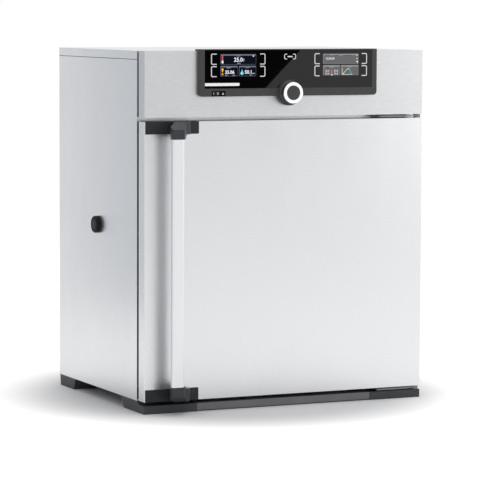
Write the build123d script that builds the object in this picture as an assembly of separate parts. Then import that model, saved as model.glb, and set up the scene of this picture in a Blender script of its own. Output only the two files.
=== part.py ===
"""Constant climate chamber, a bench cabinet of about 108 litres with a humidity-tight inner chamber.

The outer door hinges on the right and is held by a full-height swing handle on the left. Behind it
are an inner glass door, a stainless chamber with two grid shelves, and a thermoelectric cooling unit
on the back. A control panel with two displays and a turn-push knob sits above the door.

Millimetres. X to the right, Y from the front towards the back, Z up. Every size below is measured
from the front face of door and control panel (y = 0) and from the bench (z = 0). The last step moves
the whole model so that its origin is the middle of its footprint.
"""

from build123d import *
import math
import os

# Cabinet casing
CABINET_WIDTH = 745.0
CABINET_HEIGHT = 864.0
CABINET_DEPTH = 560.0
REAR_UNIT_DEPTH = 90.0
SHEET = 1.5
FOOT_HEIGHT = 28.0
ROOF_FLANGE = 20.5
CARCASS_FRONT = 46.0
FRAME_SHEET = 2.0
FIT_GAP = 0.3

# Outer door and the panel above it
DOOR_DEPTH = 35.0
DOOR_GAP = 9.5
RAIL_HEIGHT = 20.0
FASCIA_HEIGHT = 157.5
SHELL_LIP = 10.0
DOOR_AXIS_INSET = 9.5
DOOR_AXIS_Y = 12.0
GASKET_INSET = 20.5
GASKET_WIDTH = 22.0
GASKET_CLEARANCE = 0.3

# Inner chamber
WALL_THICKNESS = 92.5
CEILING_THICKNESS = 261.0
REAR_WALL_THICKNESS = 98.0
CHAMBER_MOUTH_DEPTH = 16.0
CHAMBER_FLOOR_Z = 123.0
RIB_DEPTH = 12.0
RIB_HEIGHT = 10.0
RIB_COUNT = 9
INSULATION_HEADROOM = 164.0

# Inner glass door
GLASS_THICKNESS = 5.0
GLASS_OVERLAP = 14.0
GLASS_FRONT_Y = 37.5
GLASS_HINGE_OFFSET = 36.0
GLASS_AXIS_OVERHANG = 6.5
GLASS_HINGE_HEIGHT = 14.0
GLASS_KNUCKLE_RADIUS = 3.6
GLASS_PIN_RADIUS = 2.0

# Shelves
SHELF_SIDE_CLEARANCE = 8.0
SHELF_FRONT_Y = 70.0
SHELF_BACK_CLEARANCE = 10.0
SHELF_FRAME_RADIUS = 3.0
SHELF_ROD_RADIUS = 1.6
SHELF_CROSS_ROD_RADIUS = 2.0
SHELF_ROD_COUNT = 19
SHELF_CORNER_RADIUS = 14.0
LOWER_SHELF_RIB = 3
UPPER_SHELF_RIB = 6

# Door handle
HANDLE_PROUD = 58.0
BAR_WIDTH = 30.5
BAR_THICKNESS = 15.0
BAR_INSET = 63.5
BAR_TOP_INSET = 40.0
HANDLE_AXIS_INSET = 98.5
HANDLE_AXIS_Y = -2.0
HUB_RADIUS = 18.25
HANDLE_PIN_RADIUS = 4.0
RUNNING_CLEARANCE = 0.05
BRACKET_INSET = 1.9
BRACKET_WIDTH = 138.2
BRACKET_HEIGHT = 29.5
BRACKET_PROUD = 1.0
ARM_ROOT_WIDTH = 21.0
CAP_FACE_HEIGHT = 23.0
TONGUE_WIDTH = 14.0
TONGUE_THICKNESS = 7.8
HANDLE_SWING = 60.0
HOOK_THICKNESS = 4.0
HOOK_ARM_WIDTH = 8.0
HOOK_REACH = 45.0
HOOK_NOSE = 12.0
HOOK_NOSE_THICKNESS = 4.0
KEEPER_CLEARANCE = 0.5
KEEPER_SHEET = 3.0

# Door hinges
HINGE_PLATE = 4.0
HINGE_KNUCKLE_RADIUS = 9.0
HINGE_PIN_RADIUS = 4.0
HINGE_BUSH_RADIUS = 7.0
HINGE_BUSH_LENGTH = 18.0
HINGE_PLATE_LENGTH = 110.0

# Control panel
COCKPIT_X = 1.0
BEZEL_FRAME = 13.5
BEZEL_DROP = 108.5
BEZEL_PROUD = 12.0
BEZEL_CAP = 4.0
BEZEL_CAP_REACH = 14.0
BEZEL_CORNER_RADIUS = 9.0
PANEL_GLASS_WIDTH = 447.5
PANEL_GLASS_DROP = 89.5
PANEL_GLASS_THICKNESS = 3.0
PANEL_GLASS_RECESS = 0.5
DISPLAY_WIDTH = 102.0
DISPLAY_HEIGHT = 63.0
DISPLAY_DEPTH = 15.0
DISPLAY_INSET = 86.45
DISPLAY_DROP = 67.0
KNOB_DROP = 100.7
KNOB_LOBE_RADIUS = 31.0
KNOB_RADIUS = 25.5
KNOB_SKIRT_RADIUS = 29.0
KNOB_RING_BORE = 17.75
KNOB_PROUD = 22.5
KNOB_TRAVEL = 1.2
KNOB_SHAFT_RADIUS = 3.0
KNOB_FLUTES = 24
ENCODER_COLLAR_RADIUS = 5.0
SWITCH_INSET = 31.75
SWITCH_WIDTH = 36.0
SWITCH_MARGIN = 0.9
SWITCH_HEIGHT = 12.6
ROCKER_WIDTH = 22.5
ROCKER_TILT = 8.0

# Entry port on the left side
PORT_SETBACK = 250.7
PORT_RISE = 310.0
PORT_BORE_RADIUS = 11.5
PORT_TUBE_RADIUS = 14.0
PLUG_RADIUS = 21.0
PLUG_PROUD = 11.5
PLUG_LENGTH = 60.0

# Air circulation and cooling
BAFFLE_GAP = 37.0
CHAMBER_FAN_RADIUS = 56.0
SINK_RISE = 37.0
REAR_FAN_SIZE = 120.0
REAR_FAN_DEPTH = 25.0
REAR_FAN_RADIUS = 56.0
REAR_COVER_INSET = 18.0
REAR_COVER_BOTTOM_Z = 150.0
REAR_COVER_DROP = 214.0
REAR_COVER_RIM = 6.0
LOUVRE_MARGIN = 13.5
LOUVRE_PITCH = 18.0
LOUVRE_LENGTH = 170.0

# Inner pieces behind the chamber
NOZZLE_INSET = 65.0
NOZZLE_RISE = 92.0
NOZZLE_RADIUS = 4.0
BOILER_SETBACK = 48.5
BOILER_RADIUS = 25.0
BOILER_BOTTOM_Z = 150.0
BOILER_TOP_Z = 245.0
MOTOR_FLANGE_RADIUS = 34.0
MOTOR_RADIUS = 29.0
MOTOR_LENGTH = 66.5
FAN_SHAFT_RADIUS = 4.0
SOCKET_DEPTH = 20.0
SENSOR_DROP = 18.0
FIN_COUNT = 9
FIN_THICKNESS = 2.0
MODULE_THICKNESS = 4.0
HOT_BASE = 8.0

# Feet and rear sockets
FRONT_FOOT_WIDTH = 138.0
REAR_FOOT_WIDTH = 60.0
SERVICE_INSET = 54.5
INLET_Z = 110.0
NETWORK_Z = 170.0
WATER_Z = 110.0
SPIGOT_RADIUS = 4.0
SPIGOT_LENGTH = 18.0

# Sizes that follow from the ones above
HALF_WIDTH = CABINET_WIDTH / 2
INNER_HALF_WIDTH = HALF_WIDTH - SHEET
FASCIA_BOTTOM_Z = CABINET_HEIGHT - FASCIA_HEIGHT
DOOR_TOP_Z = FASCIA_BOTTOM_Z - DOOR_GAP
DOOR_BOTTOM_Z = RAIL_HEIGHT + DOOR_GAP
DOOR_MIDDLE_Z = (DOOR_TOP_Z + DOOR_BOTTOM_Z) / 2
DOOR_AXIS_X = HALF_WIDTH - DOOR_AXIS_INSET
PANEL_BACK_Y = DOOR_DEPTH - SHEET
PANEL_FRONT_Y = PANEL_BACK_Y - SHEET
FRAME_BACK_Y = CARCASS_FRONT + FRAME_SHEET
REAR_PANEL_Y = CABINET_DEPTH - SHEET
ROOF_SEAM_Z = CABINET_HEIGHT - ROOF_FLANGE
INSULATION_TOP_Z = CABINET_HEIGHT - INSULATION_HEADROOM
CHAMBER_HALF_WIDTH = HALF_WIDTH - WALL_THICKNESS
CHAMBER_WIDTH = 2 * CHAMBER_HALF_WIDTH
CHAMBER_TOP_Z = CABINET_HEIGHT - CEILING_THICKNESS
CHAMBER_HEIGHT = CHAMBER_TOP_Z - CHAMBER_FLOOR_Z
CHAMBER_BACK_Y = CABINET_DEPTH - REAR_WALL_THICKNESS
LINER_HALF_WIDTH = CHAMBER_HALF_WIDTH + SHEET
LINER_BOTTOM_Z = CHAMBER_FLOOR_Z - SHEET
LINER_TOP_Z = CHAMBER_TOP_Z + SHEET
LINER_BACK_Y = CHAMBER_BACK_Y + SHEET
RIB_PITCH = CHAMBER_HEIGHT / (RIB_COUNT + 1)
BAFFLE_Y = CHAMBER_BACK_Y - BAFFLE_GAP
SHELF_HALF_WIDTH = CHAMBER_HALF_WIDTH - SHELF_SIDE_CLEARANCE
SHELF_BACK_Y = BAFFLE_Y - SHELF_BACK_CLEARANCE
GLASS_BACK_Y = GLASS_FRONT_Y + GLASS_THICKNESS
GLASS_AXIS_Y = GLASS_FRONT_Y + GLASS_THICKNESS / 2
GLASS_HALF_WIDTH = LINER_HALF_WIDTH + GLASS_OVERLAP
GLASS_AXIS_X = GLASS_HALF_WIDTH + GLASS_AXIS_OVERHANG
BEZEL_WIDTH = PANEL_GLASS_WIDTH + 2 * BEZEL_FRAME
BEZEL_BOTTOM_Z = CABINET_HEIGHT - BEZEL_DROP
BEZEL_TOP_Z = CABINET_HEIGHT + BEZEL_CAP
PANEL_GLASS_BOTTOM_Z = CABINET_HEIGHT - PANEL_GLASS_DROP
GLASS_FACE_Y = PANEL_GLASS_RECESS - BEZEL_PROUD
PANEL_GLASS_BACK_Y = GLASS_FACE_Y + PANEL_GLASS_THICKNESS
DISPLAY_OFFSET = PANEL_GLASS_WIDTH / 2 - DISPLAY_INSET
DISPLAY_BOTTOM_Z = CABINET_HEIGHT - DISPLAY_DROP
KNOB_Z = CABINET_HEIGHT - KNOB_DROP
SWITCH_LEFT_X = COCKPIT_X - BEZEL_WIDTH / 2 + SWITCH_INSET
SWITCH_BOTTOM_Z = BEZEL_BOTTOM_Z + SWITCH_MARGIN
BAR_X = -HALF_WIDTH + BAR_INSET
HANDLE_AXIS_X = -HALF_WIDTH + HANDLE_AXIS_INSET
BRACKET_LEFT_X = -HALF_WIDTH + BRACKET_INSET
BRACKET_RIGHT_X = BRACKET_LEFT_X + BRACKET_WIDTH
HUB_TOP_Z = DOOR_TOP_Z
HUB_BOTTOM_Z = DOOR_TOP_Z - BRACKET_HEIGHT
HUB_MIDDLE_Z = (HUB_TOP_Z + HUB_BOTTOM_Z) / 2
BAR_TOP_Z = DOOR_TOP_Z - BAR_TOP_INSET
HOOK_TOP_Z = HUB_TOP_Z - 2.5
HOOK_BOTTOM_Z = HOOK_TOP_Z - HOOK_THICKNESS
PORT_Y = CARCASS_FRONT + PORT_SETBACK
PORT_Z = CHAMBER_FLOOR_Z + PORT_RISE
FAN_Z = CHAMBER_FLOOR_Z + CHAMBER_HEIGHT / 2
SINK_OFFSET = CHAMBER_WIDTH * 27 / 112
SINK_BLOCK = CHAMBER_WIDTH / 7
SINK_Z = FAN_Z + SINK_RISE
MODULE_SIZE = SINK_BLOCK / 2 - 2
REAR_COVER_WIDTH = CHAMBER_WIDTH - 2 * REAR_COVER_INSET
REAR_COVER_TOP_Z = CABINET_HEIGHT - REAR_COVER_DROP
NOZZLE_X = -CHAMBER_HALF_WIDTH + NOZZLE_INSET
NOZZLE_Z = CHAMBER_FLOOR_Z + NOZZLE_RISE
BOILER_Y = LINER_BACK_Y + BOILER_SETBACK
MOTOR_BACK_Y = LINER_BACK_Y + MOTOR_LENGTH
INLET_BACK_Y = CABINET_DEPTH - SOCKET_DEPTH
SENSOR_Z = CHAMBER_TOP_Z - SENSOR_DROP
SERVICE_X = -HALF_WIDTH + SERVICE_INSET
WATER_X = HALF_WIDTH - SERVICE_INSET
FRONT_SHIFT = -(CABINET_DEPTH + REAR_UNIT_DEPTH - HANDLE_PROUD) / 2

os.makedirs("parts", exist_ok=True)


def block(x_span, y_span, z_span):
    """Box between three (low, high) pairs."""
    size = [high - low for low, high in (x_span, y_span, z_span)]
    return Pos(x_span[0], y_span[0], z_span[0]) * Box(*size, align=(Align.MIN,) * 3)


def both_sides(half):
    """Span from minus half to plus half."""
    return (-half, half)


def about(centre, size):
    """Span of a size about a centre."""
    return (centre - size / 2, centre + size / 2)


def post(x, y, radius, z_span):
    """Upright cylinder."""
    height = z_span[1] - z_span[0]
    bottom = (Align.CENTER, Align.CENTER, Align.MIN)
    return Pos(x, y, z_span[0]) * Cylinder(radius, height, align=bottom)


def spindle(x, z, radius, y_span):
    """Cylinder that runs from front to back."""
    length = y_span[1] - y_span[0]
    bottom = (Align.CENTER, Align.CENTER, Align.MIN)
    return Pos(x, y_span[0], z) * Rot(-90, 0, 0) * Cylinder(radius, length, align=bottom)


def crossbar(y, z, radius, x_span):
    """Cylinder that runs from left to right."""
    length = x_span[1] - x_span[0]
    bottom = (Align.CENTER, Align.CENTER, Align.MIN)
    return Pos(x_span[0], y, z) * Rot(0, 90, 0) * Cylinder(radius, length, align=bottom)


def plan_prism(points, z_span):
    """Outline seen from above, raised through a span of heights."""
    outline = Plane.XY.offset(z_span[0]) * Polygon(*points, align=None)
    return extrude(outline, z_span[1] - z_span[0], dir=(0, 0, 1))


def side_prism(points, x_span):
    """Outline of (y, z) points seen from the side, run through a span of x."""
    outline = Plane.YZ.offset(x_span[0]) * Polygon(*points, align=None)
    return extrude(outline, x_span[1] - x_span[0], dir=(1, 0, 0))


def front_plate(sketch, y_span):
    """Sketch in x and z seen from the front, run through a span of depths."""
    plane = Plane(origin=(0, y_span[0], 0), x_dir=(1, 0, 0), z_dir=(0, -1, 0))
    return extrude(plane * sketch, y_span[1] - y_span[0], dir=(0, 1, 0))


def upside_down(shape):
    """Copy of a top fitting for the bottom of the door."""
    return mirror(shape, about=Plane.XY.offset(DOOR_MIDDLE_Z))


def other_side(shape):
    """Copy of a left-hand piece for the right."""
    return mirror(shape, about=Plane.YZ)


def mitred_ring(x_half, z_span, width, y_span):
    """Four strips with mitred corners round an opening, whose outer edge is given."""
    low, high = z_span
    outer = [(-x_half, low), (x_half, low), (x_half, high), (-x_half, high)]
    inner_x = x_half - width
    inner_low = low + width
    inner_high = high - width
    inner = [(-inner_x, inner_low), (inner_x, inner_low), (inner_x, inner_high), (-inner_x, inner_high)]
    strips = []
    for i in range(4):
        j = (i + 1) % 4
        strip = Polygon(outer[i], outer[j], inner[j], inner[i], align=None)
        strips.append(front_plate(strip, y_span))
    return strips


def save(name, *pieces):
    """Moves the pieces into the finished frame and writes them as one node."""
    solids = [solid for piece in pieces for solid in piece.solids()]
    body = Compound(solids).moved(Location((0, FRONT_SHIFT, 0)))
    body.label = name
    export_step(body, f"parts/{name}.step")


def make_casing():
    """Side panels, roof, back and floor of the outer casing."""
    depth = (CARCASS_FRONT, CABINET_DEPTH)
    left = block((-HALF_WIDTH, -INNER_HALF_WIDTH), depth, (FOOT_HEIGHT, ROOF_SEAM_Z))
    save("side_panel_right", other_side(left))
    port = crossbar(PORT_Y, PORT_Z, PORT_TUBE_RADIUS, (-HALF_WIDTH, -INNER_HALF_WIDTH))
    save("side_panel_left", left - port)

    roof = block(both_sides(HALF_WIDTH), depth, (ROOF_SEAM_Z, CABINET_HEIGHT))
    hollow_depth = (CARCASS_FRONT, REAR_PANEL_Y)
    roof -= block(both_sides(INNER_HALF_WIDTH), hollow_depth, (ROOF_SEAM_Z, CABINET_HEIGHT - SHEET))
    save("roof_cover", roof)

    floor_top = FOOT_HEIGHT + SHEET
    save("floor_pan", block(both_sides(INNER_HALF_WIDTH), depth, (FOOT_HEIGHT, floor_top)))

    back = block(both_sides(INNER_HALF_WIDTH), (REAR_PANEL_Y, CABINET_DEPTH), (floor_top, ROOF_SEAM_Z))
    for side in (-1, 1):
        window = about(side * SINK_OFFSET, SINK_BLOCK)
        back -= block(window, (REAR_PANEL_Y, CABINET_DEPTH), about(SINK_Z, SINK_BLOCK))
    back -= block(about(SERVICE_X, 28), (REAR_PANEL_Y, CABINET_DEPTH), about(INLET_Z, 20))
    back -= block(about(SERVICE_X, 17), (REAR_PANEL_Y, CABINET_DEPTH), about(NETWORK_Z, 15))
    save("rear_panel", back)


def make_front_frame():
    """Welded frame round the chamber mouth, with the collar that carries the control panel."""
    depth = (CARCASS_FRONT, FRAME_BACK_Y)
    bottom = FOOT_HEIGHT + SHEET
    top = CABINET_HEIGHT - SHEET
    stile = block((-INNER_HALF_WIDTH, -LINER_HALF_WIDTH), depth, (bottom, top))
    header = block(both_sides(LINER_HALF_WIDTH), depth, (LINER_TOP_Z, top))
    sill = block(both_sides(LINER_HALF_WIDTH), depth, (bottom, LINER_BOTTOM_Z))
    collar_inset = 8.5
    collar = mitred_ring(
        INNER_HALF_WIDTH - collar_inset,
        (FASCIA_BOTTOM_Z + SHEET + collar_inset, top - collar_inset),
        SHEET,
        (DOOR_DEPTH, CARCASS_FRONT),
    )
    save("front_frame", stile, other_side(stile), header, sill, *collar)


def make_chamber():
    """Stainless inner chamber with pressed ribs that carry the shelves, and its insulation."""
    depth = (CARCASS_FRONT, LINER_BACK_Y)
    height = (CHAMBER_FLOOR_Z, CHAMBER_TOP_Z)
    floor = block(both_sides(LINER_HALF_WIDTH), depth, (LINER_BOTTOM_Z, CHAMBER_FLOOR_Z))
    ceiling = block(both_sides(LINER_HALF_WIDTH), depth, (CHAMBER_TOP_Z, LINER_TOP_Z))
    left = block((-LINER_HALF_WIDTH, -CHAMBER_HALF_WIDTH), depth, height)
    rib_front = SHELF_FRONT_Y
    rib_back = BAFFLE_Y - 5
    for row in range(1, RIB_COUNT + 1):
        z = CHAMBER_FLOOR_Z + row * RIB_PITCH
        flank = RIB_HEIGHT / 2
        crest = flank - 1.5
        section = [(-CHAMBER_HALF_WIDTH, z - flank), (-CHAMBER_HALF_WIDTH + RIB_DEPTH, z - crest)]
        section += [(-CHAMBER_HALF_WIDTH + RIB_DEPTH, z + flank), (-CHAMBER_HALF_WIDTH, z + flank)]
        left += front_plate(Polygon(*section, align=None), (rib_front, rib_back))
    right = other_side(left)
    left -= crossbar(PORT_Y, PORT_Z, PORT_TUBE_RADIUS, (-LINER_HALF_WIDTH, -CHAMBER_HALF_WIDTH + RIB_DEPTH))
    back = block(both_sides(CHAMBER_HALF_WIDTH), (CHAMBER_BACK_Y, LINER_BACK_Y), height)
    for side in (-1, 1):
        window = about(side * SINK_OFFSET, SINK_BLOCK)
        back -= block(window, (CHAMBER_BACK_Y, LINER_BACK_Y), about(SINK_Z, SINK_BLOCK))
    back -= spindle(0, FAN_Z, 6, (CHAMBER_BACK_Y, LINER_BACK_Y))
    back -= spindle(NOZZLE_X, NOZZLE_Z, NOZZLE_RADIUS, (CHAMBER_BACK_Y, LINER_BACK_Y))
    save("chamber_liner", floor, ceiling, left, right, back)

    wool = block(
        both_sides(INNER_HALF_WIDTH),
        (FRAME_BACK_Y, REAR_PANEL_Y),
        (FOOT_HEIGHT + SHEET, INSULATION_TOP_Z),
    )
    liner_depth = (FRAME_BACK_Y, LINER_BACK_Y)
    wool -= block(both_sides(LINER_HALF_WIDTH), liner_depth, (LINER_BOTTOM_Z, LINER_TOP_Z))
    wool -= crossbar(PORT_Y, PORT_Z, PORT_TUBE_RADIUS, (-INNER_HALF_WIDTH, -LINER_HALF_WIDTH))
    for side in (-1, 1):
        block_span = about(side * SINK_OFFSET, SINK_BLOCK)
        wool -= block(block_span, (LINER_BACK_Y, REAR_PANEL_Y), about(SINK_Z, SINK_BLOCK))
    wool -= spindle(0, FAN_Z, MOTOR_FLANGE_RADIUS, (LINER_BACK_Y, MOTOR_BACK_Y))
    wool -= post(NOZZLE_X, BOILER_Y, BOILER_RADIUS, (BOILER_BOTTOM_Z, BOILER_TOP_Z))
    wool -= spindle(NOZZLE_X, NOZZLE_Z, NOZZLE_RADIUS, (LINER_BACK_Y, BOILER_Y))
    wool -= block(about(SERVICE_X, 28), (INLET_BACK_Y, REAR_PANEL_Y), about(INLET_Z, 20))
    wool -= block(about(SERVICE_X, 17), (INLET_BACK_Y, REAR_PANEL_Y), about(NETWORK_Z, 15))
    save("cabinet_insulation", wool)


def fan_rotor(hub_radius, tip_radius, depth, blade_count):
    """Axial fan about the Y axis: a dished hub and twisted blades."""
    hub = Rot(-90, 0, 0) * Cylinder(hub_radius, depth)
    hub = fillet(hub.edges().group_by(Axis.Y)[0], hub_radius / 8)
    root_pitch = math.radians(48)
    tip_pitch = math.radians(28)
    root_chord = hub_radius * 1.15
    tip_chord = hub_radius * 1.55
    blade_thickness = 1.8
    root = (hub_radius - 1.5, root_pitch, root_chord)
    tip = (tip_radius, tip_pitch, tip_chord)
    sections = []
    for radius, pitch, chord in (root, tip):
        chord_way = (0, math.sin(pitch), math.cos(pitch))
        plane = Plane(origin=(radius, 0, 0), x_dir=chord_way, z_dir=(1, 0, 0))
        sections.append(plane * Rectangle(chord, blade_thickness))
    blade = loft(sections) & Rot(-90, 0, 0) * Cylinder(tip_radius, depth)
    rotor = hub
    for i in range(blade_count):
        rotor += Rot(0, i * 360 / blade_count, 0) * blade
    return rotor


def make_air_system():
    """Baffle, circulation fan, heat sinks, thermoelectric modules, steam inlet and sensors."""
    baffle_back = BAFFLE_Y + SHEET
    gap = 2.0
    width = CHAMBER_HALF_WIDTH - gap
    height = (CHAMBER_FLOOR_Z + gap, CHAMBER_TOP_Z - gap)
    baffle = block(both_sides(width), (BAFFLE_Y, baffle_back), height)
    flange = block((-width, -width + SHEET), (BAFFLE_Y, CHAMBER_BACK_Y), height)
    baffle += flange
    baffle += other_side(flange)
    inlet_radius = CHAMBER_FAN_RADIUS - 6
    baffle -= spindle(0, FAN_Z, inlet_radius, (BAFFLE_Y, baffle_back))
    ring_width = 3.0
    for radius in (inlet_radius / 3, inlet_radius * 2 / 3):
        ring = spindle(0, FAN_Z, radius + ring_width / 2, (BAFFLE_Y, baffle_back))
        baffle += ring - spindle(0, FAN_Z, radius - ring_width / 2, (BAFFLE_Y, baffle_back))
    spoke = block(both_sides(inlet_radius + 1), (BAFFLE_Y, baffle_back), both_sides(ring_width / 2))
    for angle in (0, 60, 120):
        baffle += Pos(0, 0, FAN_Z) * Rot(0, angle, 0) * spoke
    slot = SlotOverall(70, 8)
    for side in (-1, 1):
        for row in range(-6, 7):
            z = FAN_Z + row * CHAMBER_HEIGHT / 16
            slot_x = side * (CHAMBER_HALF_WIDTH - 55)
            baffle -= front_plate(Pos(slot_x, z) * slot, (BAFFLE_Y, baffle_back))
    save("air_baffle", baffle)

    motor = spindle(0, FAN_Z, MOTOR_FLANGE_RADIUS, (LINER_BACK_Y, LINER_BACK_Y + 4))
    motor += spindle(0, FAN_Z, MOTOR_RADIUS, (LINER_BACK_Y + 4, MOTOR_BACK_Y))
    fan_back = CHAMBER_BACK_Y - 6
    fan_depth = 22.0
    motor += spindle(0, FAN_Z, FAN_SHAFT_RADIUS, (fan_back - fan_depth + 4, LINER_BACK_Y))
    save("chamber_fan_motor", motor)

    rotor = fan_rotor(17.0, CHAMBER_FAN_RADIUS, fan_depth, 6)
    rotor = Pos(0, fan_back - fan_depth / 2, FAN_Z) * rotor
    bore = FAN_SHAFT_RADIUS + RUNNING_CLEARANCE
    rotor -= spindle(0, FAN_Z, bore, (fan_back - fan_depth + 4 - FIT_GAP, fan_back))
    save("chamber_fan_rotor", rotor)

    cold_pieces = []
    hot_pieces = []
    modules = []
    cold_back = CABINET_DEPTH - MODULE_THICKNESS
    fin_pitch = SINK_BLOCK * 1.5 / FIN_COUNT
    for side in (-1, 1):
        x = side * SINK_OFFSET
        cold = block(about(x, SINK_BLOCK), (CHAMBER_BACK_Y - 3, cold_back), about(SINK_Z, SINK_BLOCK))
        cold_base_y = (CHAMBER_BACK_Y - 3, CHAMBER_BACK_Y)
        cold += block(about(x, fin_pitch * FIN_COUNT), cold_base_y, about(SINK_Z, 150))
        hot_width = fin_pitch * (FIN_COUNT + 3)
        hot_base_y = (CABINET_DEPTH, CABINET_DEPTH + HOT_BASE)
        hot = block(about(x, hot_width), hot_base_y, about(SINK_Z, 190))
        for i in range(FIN_COUNT):
            fin_x = x + (i - (FIN_COUNT - 1) / 2) * fin_pitch
            fin_depth = (BAFFLE_Y + 9, CHAMBER_BACK_Y - 3)
            cold += block(about(fin_x, FIN_THICKNESS), fin_depth, about(SINK_Z, 150))
        for i in range(FIN_COUNT + 3):
            fin_x = x + (i - (FIN_COUNT + 2) / 2) * fin_pitch
            fin_depth = (CABINET_DEPTH + HOT_BASE, rear_fan_front())
            hot += block(about(fin_x, FIN_THICKNESS), fin_depth, about(SINK_Z, 190))
        cold_pieces.append(cold)
        hot_pieces.append(hot)
        for across in (-1, 1):
            for up in (-1, 1):
                span_x = about(x + across * (MODULE_SIZE / 2 + 1), MODULE_SIZE)
                span_z = about(SINK_Z + up * (MODULE_SIZE / 2 + 1), MODULE_SIZE)
                modules.append(block(span_x, (cold_back, CABINET_DEPTH), span_z))
    save("cold_sink", *cold_pieces)
    save("hot_sink", *hot_pieces)
    save("peltier_modules", *modules)

    boiler = post(NOZZLE_X, BOILER_Y, BOILER_RADIUS, (BOILER_BOTTOM_Z, BOILER_TOP_Z))
    boiler = fillet(boiler.edges().filter_by(GeomType.CIRCLE), 6)
    nozzle = spindle(NOZZLE_X, NOZZLE_Z, NOZZLE_RADIUS, (CHAMBER_BACK_Y - 14, BOILER_Y))
    nozzle -= spindle(NOZZLE_X, NOZZLE_Z, NOZZLE_RADIUS - 1.2, (CHAMBER_BACK_Y - 14, CHAMBER_BACK_Y + 10))
    save("steam_generator", boiler + nozzle)

    sensors = []
    for inset in (85.0, 65.0):
        x = CHAMBER_HALF_WIDTH - inset
        stem = spindle(x, SENSOR_Z, 2.5, (BAFFLE_Y - 38, BAFFLE_Y))
        stem += spindle(x, SENSOR_Z, 5.0, (BAFFLE_Y - 5, BAFFLE_Y))
        sensors.append(stem)
    cage_x = CHAMBER_HALF_WIDTH - 120.0
    cage = spindle(cage_x, SENSOR_Z, 7.0, (BAFFLE_Y - 32, BAFFLE_Y))
    cage = fillet(cage.edges().group_by(Axis.Y)[0], 3)
    for height in (SENSOR_Z - 3, SENSOR_Z + 3):
        cage -= block(both_sides(CHAMBER_HALF_WIDTH), (BAFFLE_Y - 24, BAFFLE_Y - 12), about(height, 1.5))
    cage += spindle(cage_x, SENSOR_Z, 5.0, (BAFFLE_Y - 26, BAFFLE_Y))
    cage += spindle(cage_x, SENSOR_Z, 10.0, (BAFFLE_Y - 4, BAFFLE_Y))
    save("climate_sensors", *sensors, cage)


def rear_fan_front():
    """Depth at which the rear fans begin, a short way inside the back of their cover."""
    return CABINET_DEPTH + REAR_UNIT_DEPTH - SHEET - 11.5 - REAR_FAN_DEPTH


def make_rear_unit():
    """Rear cooling unit: two fans behind the hot sinks and a louvred cover."""
    front = rear_fan_front()
    back = front + REAR_FAN_DEPTH
    frames = []
    for side, word in ((-1, "left"), (1, "right")):
        x = side * SINK_OFFSET
        plate = Pos(x, SINK_Z) * RectangleRounded(REAR_FAN_SIZE, REAR_FAN_SIZE, 6)
        frame = front_plate(plate, (front, back))
        frame -= spindle(x, SINK_Z, REAR_FAN_RADIUS + 1.5, (front, back))
        stay_depth = 4.0
        hub = spindle(x, SINK_Z, 20.0, (back - stay_depth, back))
        for angle in (45, 135):
            stay = block(both_sides(REAR_FAN_RADIUS + 4), (back - stay_depth, back), both_sides(3.0))
            hub += Pos(x, 0, SINK_Z) * Rot(0, angle, 0) * stay
        shaft = spindle(x, SINK_Z, FAN_SHAFT_RADIUS - 1.5, (front + 5, back - stay_depth))
        frames.append(frame + hub + shaft)
        rotor_depth = REAR_FAN_DEPTH - stay_depth - 3
        rotor_back = back - stay_depth - 1.0
        rotor = Pos(x, rotor_back - rotor_depth / 2, SINK_Z) * fan_rotor(19.0, REAR_FAN_RADIUS, rotor_depth, 7)
        bore = FAN_SHAFT_RADIUS - 1.5 + RUNNING_CLEARANCE
        rotor -= spindle(x, SINK_Z, bore, (front + 5 - FIT_GAP, rotor_back))
        save(f"rear_fan_rotor_{word}", rotor)
    save("rear_fan_frames", *frames)

    half = REAR_COVER_WIDTH / 2
    outer_y = CABINET_DEPTH + REAR_UNIT_DEPTH
    height = (REAR_COVER_BOTTOM_Z, REAR_COVER_TOP_Z)
    cover = block(both_sides(half), (CABINET_DEPTH, outer_y), height)
    cover = fillet(cover.edges().filter_by(Axis.Z).group_by(Axis.Y)[-1], 6)
    inside = (REAR_COVER_BOTTOM_Z + SHEET, REAR_COVER_TOP_Z - SHEET)
    cover -= block(both_sides(half - SHEET), (CABINET_DEPTH, outer_y - SHEET), inside)
    lip = block(both_sides(half + REAR_COVER_RIM), (CABINET_DEPTH, CABINET_DEPTH + SHEET), height)
    cover += lip - block(both_sides(half - SHEET), (CABINET_DEPTH, CABINET_DEPTH + SHEET), inside)
    slot_height = 7.0
    first_row = REAR_COVER_BOTTOM_Z + LOUVRE_MARGIN
    row_count = int((SINK_Z + SINK_BLOCK - first_row) / LOUVRE_PITCH)
    for side in (-1, 1):
        span = about(side * SINK_OFFSET, LOUVRE_LENGTH)
        for row in range(row_count):
            z = first_row + row * LOUVRE_PITCH
            cover -= block(span, (outer_y - SHEET, outer_y), about(z, slot_height))
            low = z - slot_height / 2
            vane = [(outer_y - SHEET, low - 1.5), (outer_y - SHEET, low)]
            vane += [(outer_y - 7.5, low + 6.5), (outer_y - 7.5, low + 5.0)]
            cover += side_prism(vane, span)
    save("rear_unit_cover", cover)


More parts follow.
